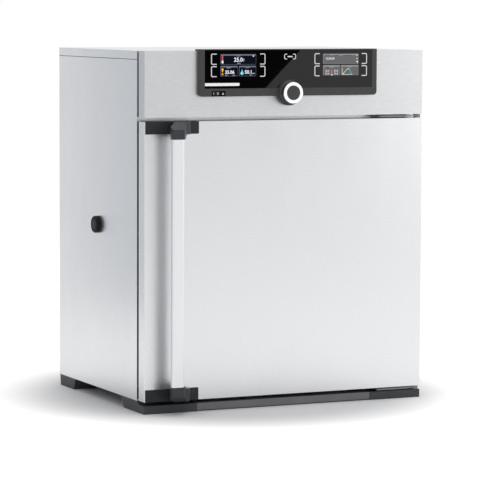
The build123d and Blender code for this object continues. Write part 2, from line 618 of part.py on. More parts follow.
def make_rear_sockets():
    """Mains inlet, network socket and water spigots on the rear panel."""
    flange_back = CABINET_DEPTH + 3
    inlet = block(about(SERVICE_X, 28), (INLET_BACK_Y, CABINET_DEPTH), about(INLET_Z, 20))
    flange = Pos(SERVICE_X, INLET_Z) * RectangleRounded(50, 26, 3)
    inlet += front_plate(flange, (CABINET_DEPTH, flange_back))
    recess = [(-12, -8), (12, -8), (12, 4), (8, 8), (-8, 8), (-12, 4)]
    cut = Pos(SERVICE_X, INLET_Z) * Polygon(*recess, align=None)
    inlet -= front_plate(cut, (flange_back - 16, flange_back))
    for dx, dz in ((-7, -3), (7, -3), (0, 1)):
        pin = block(about(SERVICE_X + dx, 2), (flange_back - 17, flange_back - 3), about(INLET_Z + dz, 4))
        inlet += pin
    save("mains_inlet", inlet)

    socket = block(about(SERVICE_X, 17), (INLET_BACK_Y, CABINET_DEPTH), about(NETWORK_Z, 15))
    socket += block(about(SERVICE_X, 20), (CABINET_DEPTH, CABINET_DEPTH + 1.5), about(NETWORK_Z, 18))
    socket -= block(about(SERVICE_X, 12), (CABINET_DEPTH - 12, CABINET_DEPTH + 1.5), about(NETWORK_Z, 9))
    save("network_socket", socket)

    spigots = []
    for z in (WATER_Z, WATER_Z + 45):
        tip = CABINET_DEPTH + 4 + SPIGOT_LENGTH
        base = front_plate(Pos(WATER_X, z) * RegularPolygon(11, 6), (CABINET_DEPTH, CABINET_DEPTH + 4))
        stem = spindle(WATER_X, z, SPIGOT_RADIUS, (CABINET_DEPTH + 4, tip))
        spigots.append(base + stem - spindle(WATER_X, z, SPIGOT_RADIUS - 1.5, (tip - 20, tip)))
    save("water_connectors", *spigots)


def make_entry_port():
    """Entry port through the left wall, and the soft plug that closes it."""
    span = (-HALF_WIDTH, -CHAMBER_HALF_WIDTH)
    tube = crossbar(PORT_Y, PORT_Z, PORT_TUBE_RADIUS, span)
    tube -= crossbar(PORT_Y, PORT_Z, PORT_BORE_RADIUS, span)
    save("entry_tube", tube)

    outer_x = -HALF_WIDTH - PLUG_PROUD
    plug = crossbar(PORT_Y, PORT_Z, PLUG_RADIUS, (outer_x, -HALF_WIDTH - FIT_GAP))
    plug = fillet(plug.edges().group_by(Axis.X)[0], 3.5)
    groove = crossbar(PORT_Y, PORT_Z, PLUG_RADIUS - 4.5, (outer_x, outer_x + 1.8))
    plug -= groove - crossbar(PORT_Y, PORT_Z, PLUG_RADIUS - 7.0, (outer_x, outer_x + 1.8))
    stem_end = -HALF_WIDTH + PLUG_LENGTH
    stem = crossbar(PORT_Y, PORT_Z, PORT_BORE_RADIUS - FIT_GAP, (-HALF_WIDTH - FIT_GAP, stem_end))
    stem = chamfer(stem.edges().group_by(Axis.X)[-1], 2)
    save("entry_plug", plug + stem)


def make_fascia():
    """Sheet cover above the door, folded back on all four sides."""
    height = (FASCIA_BOTTOM_Z, CABINET_HEIGHT)
    inside = (FASCIA_BOTTOM_Z + SHEET, CABINET_HEIGHT - SHEET)
    cover = block(both_sides(HALF_WIDTH), (0, DOOR_DEPTH), height)
    cover = fillet(cover.edges().filter_by(Axis.Z).group_by(Axis.Y)[0], 1.2)
    cover -= block(both_sides(INNER_HALF_WIDTH), (SHEET, PANEL_BACK_Y), inside)
    lip = (FASCIA_BOTTOM_Z + SHEET + SHELL_LIP, CABINET_HEIGHT - SHEET - SHELL_LIP)
    cover -= block(both_sides(INNER_HALF_WIDTH - SHELL_LIP), (PANEL_BACK_Y, DOOR_DEPTH), lip)
    window_margin = 4.0
    window_half = PANEL_GLASS_WIDTH / 2 - window_margin
    window = (PANEL_GLASS_BOTTOM_Z + window_margin, CABINET_HEIGHT - SHEET - 1.5)
    cover -= block((COCKPIT_X - window_half, COCKPIT_X + window_half), (0, SHEET), window)
    cover += spindle(COCKPIT_X, KNOB_Z, KNOB_LOBE_RADIUS - 2, (0, SHEET))
    cover -= spindle(COCKPIT_X, KNOB_Z, ENCODER_COLLAR_RADIUS, (0, SHEET))
    cover -= block(switch_span(), (0, SHEET), about(SWITCH_BOTTOM_Z + SWITCH_HEIGHT / 2, SWITCH_HEIGHT))
    save("control_fascia", cover)


def switch_span():
    """Span of the mains switch and service port along x."""
    return (SWITCH_LEFT_X, SWITCH_LEFT_X + SWITCH_WIDTH)


def make_cockpit():
    """Bezel, printed glass, two displays and the board behind them."""
    front = -BEZEL_PROUD
    middle_z = (BEZEL_BOTTOM_Z + BEZEL_TOP_Z) / 2
    height = BEZEL_TOP_Z - BEZEL_BOTTOM_Z
    outline = Pos(COCKPIT_X, middle_z) * RectangleRounded(BEZEL_WIDTH, height, BEZEL_CORNER_RADIUS)
    outline += Pos(COCKPIT_X, BEZEL_TOP_Z - height / 4) * Rectangle(BEZEL_WIDTH, height / 2)
    bezel = front_plate(outline, (front, 0))
    bezel = fillet(bezel.edges().group_by(Axis.Y)[0], 1.5)
    glass_half = PANEL_GLASS_WIDTH / 2
    glass_top = BEZEL_TOP_Z - 2
    glass_z = (PANEL_GLASS_BOTTOM_Z, glass_top)
    glass_x = about(COCKPIT_X, PANEL_GLASS_WIDTH)
    bezel -= block(glass_x, (front, PANEL_GLASS_BACK_Y), glass_z)
    ledge = 4.0
    window_z = (PANEL_GLASS_BOTTOM_Z + ledge, CABINET_HEIGHT - SHEET - 1.5)
    window_x = (COCKPIT_X - glass_half + ledge, COCKPIT_X + glass_half - ledge)
    bezel -= block(window_x, (front, 0), window_z)
    lobe = spindle(COCKPIT_X, KNOB_Z, KNOB_LOBE_RADIUS, (front - 0.8, 0))
    bezel += fillet(lobe.edges().group_by(Axis.Y)[0], 0.7)
    cap_z = (CABINET_HEIGHT, BEZEL_TOP_Z)
    bezel += block(about(COCKPIT_X, BEZEL_WIDTH), (0, BEZEL_CAP_REACH), cap_z)
    bezel -= spindle(COCKPIT_X, KNOB_Z, ENCODER_COLLAR_RADIUS, (front - 0.8, 0))
    bezel -= block(switch_span(), (front, 0), about(SWITCH_BOTTOM_Z + SWITCH_HEIGHT / 2, SWITCH_HEIGHT))
    save("cockpit_bezel", bezel)

    glass = block(glass_x, (GLASS_FACE_Y, PANEL_GLASS_BACK_Y), glass_z)
    notch = spindle(COCKPIT_X, KNOB_Z, KNOB_LOBE_RADIUS, (GLASS_FACE_Y, PANEL_GLASS_BACK_Y))
    save("cockpit_glass", glass - notch)

    display_y = (PANEL_GLASS_BACK_Y, PANEL_GLASS_BACK_Y + DISPLAY_DEPTH)
    display_z = (DISPLAY_BOTTOM_Z, DISPLAY_BOTTOM_Z + DISPLAY_HEIGHT)
    displays = []
    for side in (-1, 1):
        display_x = about(COCKPIT_X + side * DISPLAY_OFFSET, DISPLAY_WIDTH)
        displays.append(block(display_x, display_y, display_z))
    save("display_modules", *displays)

    board_front = display_y[1] + 3
    board_x = about(COCKPIT_X, PANEL_GLASS_WIDTH - 57.5)
    board_z = (CABINET_HEIGHT - 80, CABINET_HEIGHT - 6)
    board = block(board_x, (board_front, board_front + 1.6), board_z)
    for side in (-1, 1):
        for dx in (-40, 40):
            x = COCKPIT_X + side * DISPLAY_OFFSET + dx
            for z in (DISPLAY_BOTTOM_Z + 7, DISPLAY_BOTTOM_Z + 55):
                board += spindle(x, z, 3, (display_y[1], board_front))
    chip_back = board_front + 1.6
    plug_z = about(board_z[0] + 11, 12)
    board += block(about(COCKPIT_X, 32), (chip_back, chip_back + 3), about(board_z[0] + 41, 32))
    board += block(about(COCKPIT_X - 120, 60), (chip_back, chip_back + 9), plug_z)
    board += block(about(COCKPIT_X + 120, 60), (chip_back, chip_back + 9), plug_z)
    for dx in (-60, 45, 62):
        board += spindle(COCKPIT_X + dx, board_z[0] + 46, 6, (chip_back, chip_back + 11))
    save("control_board", board)

    supply = block((-260, -120), (300, 460), (INSULATION_TOP_Z, INSULATION_TOP_Z + 48))
    for i in range(7):
        slot_x = -245 + i * 18
        supply -= block(about(slot_x, 5), (320, 440), (INSULATION_TOP_Z + 44, INSULATION_TOP_Z + 48))
    save("power_supply", supply)


def make_knob():
    """Turn-push knob: encoder body, sliding shaft, fluted knob and its bright ring."""
    shaft_bore = KNOB_SHAFT_RADIUS + RUNNING_CLEARANCE
    lobe_face = -BEZEL_PROUD - 0.8
    collar_front = lobe_face + 1
    housing_back = SHEET + 18
    housing = block(about(COCKPIT_X, 20), (SHEET, housing_back), about(KNOB_Z, 20))
    housing += spindle(COCKPIT_X, KNOB_Z, ENCODER_COLLAR_RADIUS, (collar_front, SHEET))
    housing -= spindle(COCKPIT_X, KNOB_Z, shaft_bore, (collar_front, housing_back))
    save("encoder_housing", housing)

    knob_back = lobe_face - KNOB_TRAVEL - FIT_GAP
    face = lobe_face - KNOB_PROUD + 0.8
    bore_end = face + 6
    shaft = spindle(COCKPIT_X, KNOB_Z, KNOB_SHAFT_RADIUS, (bore_end + FIT_GAP, housing_back - KNOB_TRAVEL - 1))
    save("knob_plunger", shaft)

    taper_end = knob_back - 5
    profile = Polygon(
        (0, knob_back),
        (KNOB_SKIRT_RADIUS, knob_back),
        (KNOB_SKIRT_RADIUS, knob_back - 1.5),
        (KNOB_RADIUS, taper_end),
        (KNOB_RADIUS, face + 3),
        (KNOB_RING_BORE, face + 3),
        (KNOB_RING_BORE, face + 0.8),
        (KNOB_RING_BORE - 1, face + 0.3),
        (0, face + 0.3),
        align=None,
    )
    knob = revolve(profile, Axis.Y)
    flute = spindle(KNOB_RADIUS + 0.5, 0, 1.1, (face + 4, taper_end - 0.5))
    for i in range(KNOB_FLUTES):
        knob -= Rot(0, i * 360 / KNOB_FLUTES, 0) * flute
    knob = Pos(COCKPIT_X, 0, KNOB_Z) * knob
    knob -= spindle(COCKPIT_X, KNOB_Z, shaft_bore, (bore_end, knob_back))
    save("knob_body", knob)

    ring = spindle(COCKPIT_X, KNOB_Z, KNOB_RADIUS, (face, face + 3))
    ring = fillet(ring.edges().group_by(Axis.Y)[0], 0.8)
    save("knob_ring", ring - spindle(COCKPIT_X, KNOB_Z, KNOB_RING_BORE, (face, face + 3)))


def make_switch():
    """Mains rocker and the service port with its flap, in one black housing."""
    left, right = switch_span()
    front = -BEZEL_PROUD
    height = (SWITCH_BOTTOM_Z, SWITCH_BOTTOM_Z + SWITCH_HEIGHT)
    wall = 0.8
    back = SHEET + 8
    housing = block((left, right), (front, back), height)
    divide = left + ROCKER_WIDTH + 1.6
    inner_z = (height[0] + wall, height[1] - wall)
    housing -= block((left + wall, divide - wall / 2), (front, SHEET + 2), inner_z)
    port_span = (divide + wall / 2, right - wall)
    housing -= block(port_span, (front, front + 2.6), inner_z)
    recess_x = (port_span[0] + wall, port_span[1] - wall)
    housing -= block(recess_x, (front, -2), (inner_z[0] + wall, inner_z[1] - wall))
    rocker_x = (left + wall + divide - wall / 2) / 2
    pivot_y = front + 7
    mid_z = SWITCH_BOTTOM_Z + SWITCH_HEIGHT / 2
    pin_radius = 1.2
    housing += post(rocker_x, pivot_y, pin_radius, inner_z)
    save("switch_housing", housing)

    half = ROCKER_WIDTH / 2 - 0.9
    nose = 7.2
    rise = half * math.tan(math.radians(ROCKER_TILT))
    outline = [(-half, -nose), (0, -nose + rise), (half, -nose), (half - 2, 3), (-half + 2, 3)]
    rocker_z = (inner_z[0] + FIT_GAP, inner_z[1] - FIT_GAP)
    rocker = plan_prism(outline, rocker_z)
    rocker -= post(0, 0, pin_radius + RUNNING_CLEARANCE, rocker_z)
    save("mains_rocker", Pos(rocker_x, pivot_y, 0) * Rot(0, 0, ROCKER_TILT) * rocker)

    flap_thickness = 2.0
    hinge_y = front + flap_thickness / 2
    hinge_z = inner_z[0] + flap_thickness / 2 + FIT_GAP
    flap_span = (port_span[0] + FIT_GAP, port_span[1] - FIT_GAP)
    flap = block(flap_span, (front, front + flap_thickness), (hinge_z, inner_z[1] - FIT_GAP))
    flap += crossbar(hinge_y, hinge_z, flap_thickness / 2, flap_span)
    thumb = (mid_z + 2.4, mid_z + 3.6)
    flap += block((flap_span[0] + 2, flap_span[1] - 2), (front - 0.8, front), thumb)
    save("port_flap", flap)


def hinge_block_span():
    """Plan of the reinforcing block that holds a hinge bush in the door."""
    return (DOOR_AXIS_X - 16, INNER_HALF_WIDTH), (SHEET, DOOR_AXIS_Y + 14)


def bracket_space(margin):
    """Space that the top handle bracket takes in the door, a margin larger all round."""
    return block(
        (BRACKET_LEFT_X - margin, BRACKET_RIGHT_X + margin),
        (-BRACKET_PROUD, PANEL_BACK_Y),
        (HUB_BOTTOM_Z - margin, HUB_TOP_Z + margin),
    )


def make_door():
    """Outer door: folded shell, inner panel, insulation, gasket and hinge bushes."""
    height = (DOOR_BOTTOM_Z, DOOR_TOP_Z)
    inside = (DOOR_BOTTOM_Z + SHEET, DOOR_TOP_Z - SHEET)
    shell = block(both_sides(HALF_WIDTH), (0, DOOR_DEPTH), height)
    shell = fillet(shell.edges().filter_by(Axis.Z).group_by(Axis.Y)[0], 1.2)
    shell -= block(both_sides(INNER_HALF_WIDTH), (SHEET, PANEL_BACK_Y), inside)
    lip_z = (inside[0] + SHELL_LIP, inside[1] - SHELL_LIP)
    shell -= block(both_sides(INNER_HALF_WIDTH - SHELL_LIP), (PANEL_BACK_Y, DOOR_DEPTH), lip_z)

    block_x, block_y = hinge_block_span()
    bush_z = (DOOR_TOP_Z - HINGE_BUSH_LENGTH, DOOR_TOP_Z)
    boss = block(block_x, block_y, (bush_z[0] - 4, DOOR_TOP_Z - SHEET))
    bush_hole = post(DOOR_AXIS_X, DOOR_AXIS_Y, HINGE_BUSH_RADIUS, bush_z)
    shell += boss
    shell += upside_down(boss)
    shell -= bush_hole
    shell -= upside_down(bush_hole)
    pocket = bracket_space(0)
    pocket += block((BRACKET_LEFT_X, BRACKET_RIGHT_X), (-BRACKET_PROUD, DOOR_DEPTH), (HUB_BOTTOM_Z, HUB_TOP_Z))
    shell -= pocket
    shell -= upside_down(pocket)
    save("door_shell", shell)

    panel = block(both_sides(INNER_HALF_WIDTH), (PANEL_FRONT_Y, PANEL_BACK_Y), inside)
    panel -= pocket
    panel -= upside_down(pocket)
    save("door_inner_panel", panel)

    core = block(both_sides(INNER_HALF_WIDTH), (SHEET, PANEL_FRONT_Y), inside)
    core -= pocket
    core -= upside_down(pocket)
    core -= boss
    core -= upside_down(boss)
    save("door_insulation", core)

    flange = 2.0
    bush = post(DOOR_AXIS_X, DOOR_AXIS_Y, HINGE_BUSH_RADIUS, bush_z)
    bush += post(DOOR_AXIS_X, DOOR_AXIS_Y, HINGE_BUSH_RADIUS + 2, (DOOR_TOP_Z, DOOR_TOP_Z + flange / 2))
    bush -= post(
        DOOR_AXIS_X, DOOR_AXIS_Y, HINGE_PIN_RADIUS + RUNNING_CLEARANCE, (bush_z[0], DOOR_TOP_Z + flange / 2)
    )
    save("door_hinge_bushes", bush, upside_down(bush))

    gasket_half = HALF_WIDTH - GASKET_INSET
    outer_z = (DOOR_BOTTOM_Z + 17, DOOR_TOP_Z - 17)
    seal_back = CARCASS_FRONT - GASKET_CLEARANCE
    foot_back = PANEL_BACK_Y + 4
    foot = mitred_ring(gasket_half, outer_z, GASKET_WIDTH, (PANEL_BACK_Y, foot_back))
    bulb_inset = 5.0
    bulb = mitred_ring(
        gasket_half - bulb_inset,
        (outer_z[0] + bulb_inset, outer_z[1] - bulb_inset),
        GASKET_WIDTH - 2 * bulb_inset,
        (foot_back, seal_back),
    )
    strips = [low + high for low, high in zip(foot, bulb)]
    save("door_gasket", *strips)


def make_hinges():
    """Cabinet side of the door hinges: folded plates with knuckle and pin."""
    clearance = (DOOR_GAP - HINGE_PLATE) / 2
    low = DOOR_TOP_Z + clearance
    span_z = (low, low + HINGE_PLATE)
    left = DOOR_AXIS_X - HINGE_PLATE_LENGTH
    outline = [
        (left, CARCASS_FRONT),
        (left, 6),
        (left + 4, 2),
        (left + 76, 2),
        (DOOR_AXIS_X - 12, DOOR_AXIS_Y - 6),
        (DOOR_AXIS_X, DOOR_AXIS_Y - HINGE_KNUCKLE_RADIUS),
        (DOOR_AXIS_X, DOOR_AXIS_Y + HINGE_KNUCKLE_RADIUS),
        (DOOR_AXIS_X - 14, CARCASS_FRONT),
    ]
    hinge = plan_prism(outline, span_z)
    flange_depth = 3.0
    flange_x = (left, DOOR_AXIS_X - 16)
    hinge += block(flange_x, (CARCASS_FRONT - flange_depth, CARCASS_FRONT), (DOOR_TOP_Z - 12.5, low))
    knuckle_z = (DOOR_TOP_Z + 1.4, FASCIA_BOTTOM_Z - 0.8)
    hinge += post(DOOR_AXIS_X, DOOR_AXIS_Y, HINGE_KNUCKLE_RADIUS, knuckle_z)
    pin_z = (DOOR_TOP_Z - HINGE_BUSH_LENGTH + 2, knuckle_z[0])
    hinge += post(DOOR_AXIS_X, DOOR_AXIS_Y, HINGE_PIN_RADIUS, pin_z)
    save("door_hinges", hinge, upside_down(hinge))


def make_handle_fittings():
    """Handle brackets in the door's left corners: pocket for the hub, tongue with the pin's bore."""
    bracket = bracket_space(0)
    corner = bracket.edges().filter_by(Axis.Y).sort_by(lambda edge: edge.center().Z - edge.center().X)
    bracket = fillet(corner[0], 3)
    through = (HUB_BOTTOM_Z, HUB_TOP_Z)
    bracket -= post(HANDLE_AXIS_X, HANDLE_AXIS_Y, HUB_RADIUS + FIT_GAP, through)
    tongue_z = about(HUB_MIDDLE_Z, TONGUE_THICKNESS)
    eye_radius = 9.0
    tongue = block(about(HANDLE_AXIS_X, TONGUE_WIDTH), (HANDLE_AXIS_Y, HUB_RADIUS + 2), tongue_z)
    tongue += post(HANDLE_AXIS_X, HANDLE_AXIS_Y, eye_radius, tongue_z)
    bracket += tongue
    bracket -= post(HANDLE_AXIS_X, HANDLE_AXIS_Y, HANDLE_PIN_RADIUS + RUNNING_CLEARANCE, tongue_z)
    sweep_z = (HOOK_BOTTOM_Z - 0.6, HOOK_TOP_Z + 0.6)
    reach = HOOK_REACH + 4
    sector = [(HANDLE_AXIS_X, HANDLE_AXIS_Y)]
    for angle in (66, 90, 110, 130, 149, HANDLE_SWING + 108):
        turn = math.radians(angle)
        sector.append((HANDLE_AXIS_X + reach * math.cos(turn), HANDLE_AXIS_Y + reach * math.sin(turn)))
    bracket -= plan_prism(sector, sweep_z)
    save("handle_brackets", bracket, upside_down(bracket))


def make_handle():
    """Swing handle: bright bar between two moulded caps that turn on pins in the brackets."""
    bar_left = BAR_X - BAR_WIDTH / 2
    bar_right = BAR_X + BAR_WIDTH / 2
    bar_front = -HANDLE_PROUD
    bar_back = bar_front + BAR_THICKNESS
    middle = (BAR_X, (bar_front + bar_back) / 2)
    section = Pos(*middle) * RectangleRounded(BAR_WIDTH, BAR_THICKNESS, 4)
    bar_bottom = 2 * DOOR_MIDDLE_Z - BAR_TOP_Z
    bar = extrude(Plane.XY.offset(bar_bottom) * section, BAR_TOP_Z - bar_bottom)
    save("handle_bar", bar)

    way = Vector(middle[0] - HANDLE_AXIS_X, middle[1] - HANDLE_AXIS_Y).normalized()
    root_right = (HANDLE_AXIS_X - way.Y * ARM_ROOT_WIDTH / 2, HANDLE_AXIS_Y + way.X * ARM_ROOT_WIDTH / 2)
    root_left = (HANDLE_AXIS_X + way.Y * ARM_ROOT_WIDTH / 2, HANDLE_AXIS_Y - way.X * ARM_ROOT_WIDTH / 2)
    plan = [(bar_left, bar_front), (bar_right, bar_front), root_right, root_left, (bar_left, bar_back)]
    arm = plan_prism(plan, (BAR_TOP_Z, HUB_TOP_Z))
    face_top = BAR_TOP_Z + CAP_FACE_HEIGHT
    side = [
        (bar_front, BAR_TOP_Z),
        (bar_back, BAR_TOP_Z),
        (HANDLE_AXIS_Y - HUB_RADIUS * 0.7, HUB_BOTTOM_Z),
        (HANDLE_AXIS_Y + HUB_RADIUS, HUB_BOTTOM_Z),
        (HANDLE_AXIS_Y + HUB_RADIUS, HUB_TOP_Z),
        (HANDLE_AXIS_Y - HUB_RADIUS, HUB_TOP_Z),
        (bar_front, face_top),
    ]
    arm &= side_prism(side, (bar_left - 5, -HANDLE_AXIS_X))
    front_edges = arm.edges().filter_by(Axis.Z).group_by(Axis.Y)[0]
    arm = fillet(front_edges, 3)
    cap = arm + post(HANDLE_AXIS_X, HANDLE_AXIS_Y, HUB_RADIUS, (HUB_BOTTOM_Z, HUB_TOP_Z))

    half_slot = TONGUE_WIDTH / 2 + 0.6
    turn = math.radians(90 - HANDLE_SWING)
    reach = HUB_RADIUS + 8
    far = (half_slot * math.sin(turn), -half_slot * math.cos(turn))
    slot = [
        (-half_slot, 0),
        (-half_slot, reach),
        (reach * 0.6, reach),
        (far[0] + reach * math.cos(turn), far[1] + reach * math.sin(turn)),
        far,
    ]
    slot = [(HANDLE_AXIS_X + x, HANDLE_AXIS_Y + y) for x, y in slot]
    slot_z = about(HUB_MIDDLE_Z, TONGUE_THICKNESS + 0.8)
    cap -= plan_prism(slot, slot_z)
    cap -= post(HANDLE_AXIS_X, HANDLE_AXIS_Y, 9.5, slot_z)
    pin_z = (HUB_BOTTOM_Z + 3, HOOK_TOP_Z)
    cap -= post(HANDLE_AXIS_X, HANDLE_AXIS_Y, HANDLE_PIN_RADIUS, pin_z)

    hook_z = (HOOK_BOTTOM_Z, HOOK_TOP_Z)
    root_radius = 9.0
    hook = post(HANDLE_AXIS_X, HANDLE_AXIS_Y, root_radius, hook_z)
    tip = HANDLE_AXIS_Y + HOOK_REACH
    hook += block(about(HANDLE_AXIS_X, HOOK_ARM_WIDTH), (HANDLE_AXIS_Y, tip), hook_z)
    nose = (HANDLE_AXIS_X, HANDLE_AXIS_X + HOOK_NOSE)
    hook += block(nose, (tip - HOOK_NOSE_THICKNESS, tip), hook_z)
    cap -= hook
    save("handle_cap_top", cap)
    save("handle_cap_bottom", upside_down(cap))
    shaft = hook + post(HANDLE_AXIS_X, HANDLE_AXIS_Y, HANDLE_PIN_RADIUS, pin_z)
    save("latch_shafts", shaft, upside_down(shaft))

    lip_back = tip - HOOK_NOSE_THICKNESS - KEEPER_CLEARANCE
    lip_front = lip_back - KEEPER_SHEET
    wall_left = HANDLE_AXIS_X + HOOK_NOSE * 2
    wall_right = wall_left + 5
    lip = block((HANDLE_AXIS_X + HOOK_ARM_WIDTH, wall_left), (lip_front, lip_back), hook_z)
    wall = block((wall_left, wall_right), (lip_front, CARCASS_FRONT), hook_z)
    sole = block((wall_right, wall_right + 13), (CARCASS_FRONT - 2, CARCASS_FRONT), hook_z)
    keeper = lip + wall + sole
    save("latch_keepers", keeper, upside_down(keeper))


def glass_hinge(z):
    """One hinge of the inner glass door: bracket with pin on the frame, strap on the pane."""
    half = GLASS_HINGE_HEIGHT / 2
    ear = 2.5
    knuckle_z = (z - half, z + half)
    base = block(
        (GLASS_AXIS_X - 5, GLASS_AXIS_X + 10),
        (CARCASS_FRONT - 2, CARCASS_FRONT),
        (z - half - ear - 1, z + half + ear + 1),
    )
    bracket = base + post(GLASS_AXIS_X, GLASS_AXIS_Y, GLASS_PIN_RADIUS, knuckle_z)
    for low in (z - half - ear, z + half):
        bracket += post(GLASS_AXIS_X, GLASS_AXIS_Y, GLASS_KNUCKLE_RADIUS, (low, low + ear))
        arm = (GLASS_AXIS_X - GLASS_KNUCKLE_RADIUS, GLASS_AXIS_X + GLASS_KNUCKLE_RADIUS)
        bracket += block(arm, (GLASS_AXIS_Y, CARCASS_FRONT - 2), (low, low + ear))
    strap_z = (knuckle_z[0] + FIT_GAP, knuckle_z[1] - FIT_GAP)
    strap = post(GLASS_AXIS_X, GLASS_AXIS_Y, GLASS_KNUCKLE_RADIUS, strap_z)
    strap += block((GLASS_HALF_WIDTH - 18, GLASS_AXIS_X), (GLASS_FRONT_Y - 2, GLASS_BACK_Y + 1.5), strap_z)
    strap -= block((GLASS_HALF_WIDTH - 20, GLASS_HALF_WIDTH), (GLASS_FRONT_Y, GLASS_BACK_Y), strap_z)
    strap -= post(GLASS_AXIS_X, GLASS_AXIS_Y, GLASS_PIN_RADIUS + RUNNING_CLEARANCE, strap_z)
    return bracket, strap


def make_glass_door():
    """Inner glass door with its seal, hinges and grip."""
    span_z = (LINER_BOTTOM_Z - GLASS_OVERLAP, LINER_TOP_Z + GLASS_OVERLAP)
    pane = block(both_sides(GLASS_HALF_WIDTH), (GLASS_FRONT_Y, GLASS_BACK_Y), span_z)
    pane = fillet(pane.edges().filter_by(Axis.Y), 6)
    save("glass_pane", pane)
    seal_margin = 2.5
    seal = mitred_ring(
        GLASS_HALF_WIDTH - seal_margin,
        (span_z[0] + seal_margin, span_z[1] - seal_margin),
        GLASS_OVERLAP - seal_margin,
        (GLASS_BACK_Y + FIT_GAP, CARCASS_FRONT),
    )
    brackets = []
    straps = []
    for z in (span_z[0] + GLASS_HINGE_OFFSET, span_z[1] - GLASS_HINGE_OFFSET):
        bracket, strap = glass_hinge(z)
        brackets.append(bracket)
        straps.append(strap)
    gap = block(
        (GLASS_HALF_WIDTH - 19, GLASS_HALF_WIDTH),
        (GLASS_BACK_Y, GLASS_BACK_Y + 2),
        span_z,
    )
    seal = [strip - gap if strip.center().X > GLASS_HALF_WIDTH - 20 else strip for strip in seal]
    save("glass_gasket", *seal)
    save("glass_hinge_brackets", *brackets)
    save("glass_hinge_straps", *straps)

    grip_left = -GLASS_HALF_WIDTH + 8
    grip = block((grip_left, grip_left + 20), (GLASS_FRONT_Y - 3, GLASS_FRONT_Y), about(FAN_Z, 90))
    grip -= block((grip_left + 6, grip_left + 14), (GLASS_FRONT_Y - 3, GLASS_FRONT_Y - 1.5), about(FAN_Z, 74))
    save("glass_grip", grip)


def grid_shelf(z):
    """Welded wire shelf whose side rods rest on the liner's ribs at height z."""
    r = SHELF_FRAME_RADIUS
    axis_z = z + r
    half = SHELF_HALF_WIDTH - r
    front = SHELF_FRONT_Y + r
    back = SHELF_BACK_Y - r
    corner = SHELF_CORNER_RADIUS
    side = spindle(-half, axis_z, r, (front + corner, back - corner))
    shelf = side + other_side(side)
    shelf += crossbar(front, axis_z, r, both_sides(half - corner))
    shelf += crossbar(back, axis_z, r, both_sides(half - corner))
    for hand in (-1, 1):
        for y, turn in ((front + corner, -90), (back - corner, 90)):
            plane = Plane(origin=(hand * half, y, axis_z), x_dir=(1, 0, 0), z_dir=(0, 1, 0))
            bend_axis = Axis((hand * (half - corner), y, axis_z), (0, 0, 1))
            shelf += revolve(plane * Circle(r), bend_axis, hand * turn)
    pitch = 2 * half / (SHELF_ROD_COUNT + 1)
    for y in (front + (back - front) / 3, front + (back - front) * 2 / 3):
        shelf += crossbar(y, axis_z - 1, SHELF_CROSS_ROD_RADIUS, both_sides(half))
    rod = Rot(0, 45, 0) * spindle(0, 0, SHELF_ROD_RADIUS, (front, back))
    for i in range(1, SHELF_ROD_COUNT + 1):
        shelf += Pos(-half + i * pitch, 0, axis_z + 1) * rod
    return shelf


def make_shelves():
    """Two shelves on their ribs."""
    for name, row in (("shelf_lower", LOWER_SHELF_RIB), ("shelf_upper", UPPER_SHELF_RIB)):
        rib_top = CHAMBER_FLOOR_Z + row * RIB_PITCH + RIB_HEIGHT / 2
        save(name, grid_shelf(rib_top + FIT_GAP))


def make_feet():
    """Moulded feet and the bar between the front ones."""
    rise = CARCASS_FRONT - 0.5
    front_side = [
        (2, 0),
        (127, 0),
        (145, FOOT_HEIGHT),
        (rise, FOOT_HEIGHT),
        (rise - 11.5, RAIL_HEIGHT),
        (2, RAIL_HEIGHT),
    ]
    left = side_prism(front_side, (-HALF_WIDTH, -HALF_WIDTH + FRONT_FOOT_WIDTH))
    right = other_side(left)
    hinge_left = DOOR_AXIS_X - HINGE_PLATE_LENGTH - 1
    seat_z = RAIL_HEIGHT
    right -= block((hinge_left, HALF_WIDTH), (2, CARCASS_FRONT), (seat_z, FOOT_HEIGHT))
    rear_side = [
        (CABINET_DEPTH - 99, 0),
        (CABINET_DEPTH - 7, 0),
        (CABINET_DEPTH - 2, FOOT_HEIGHT),
        (CABINET_DEPTH - 108.5, FOOT_HEIGHT),
    ]
    rear = side_prism(rear_side, (-HALF_WIDTH, -HALF_WIDTH + REAR_FOOT_WIDTH))
    save("feet", left, right, rear, other_side(rear))
    half = HALF_WIDTH - FRONT_FOOT_WIDTH
    bar = block(both_sides(half), (4, 34), (1.5, RAIL_HEIGHT))
    bar = fillet(bar.edges().filter_by(Axis.X).group_by(Axis.Y)[0], 2)
    save("front_crossbar", bar)


make_casing()
make_front_frame()
make_chamber()
make_air_system()
make_rear_unit()
make_rear_sockets()
make_entry_port()
make_fascia()
make_cockpit()
make_knob()
make_switch()
make_door()
make_hinges()
make_handle_fittings()
make_handle()
make_glass_door()
make_shelves()
make_feet()
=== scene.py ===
"""Looks of a constant climate chamber: stainless casing, swing handle, printed glass control panel.

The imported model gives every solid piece. This script dresses each of them in a procedural finish,
adds the print, screens and small fastenings that lie on them, and sets up the studio.

Lengths in the classes are millimetres unless their names say metres. X runs to the right, Y from the
front to the back and Z up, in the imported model's own frame.
"""

from __future__ import annotations

import logging
import math
from dataclasses import dataclass, field
from enum import Enum

import bmesh
import bpy
from mathutils import Matrix, Vector

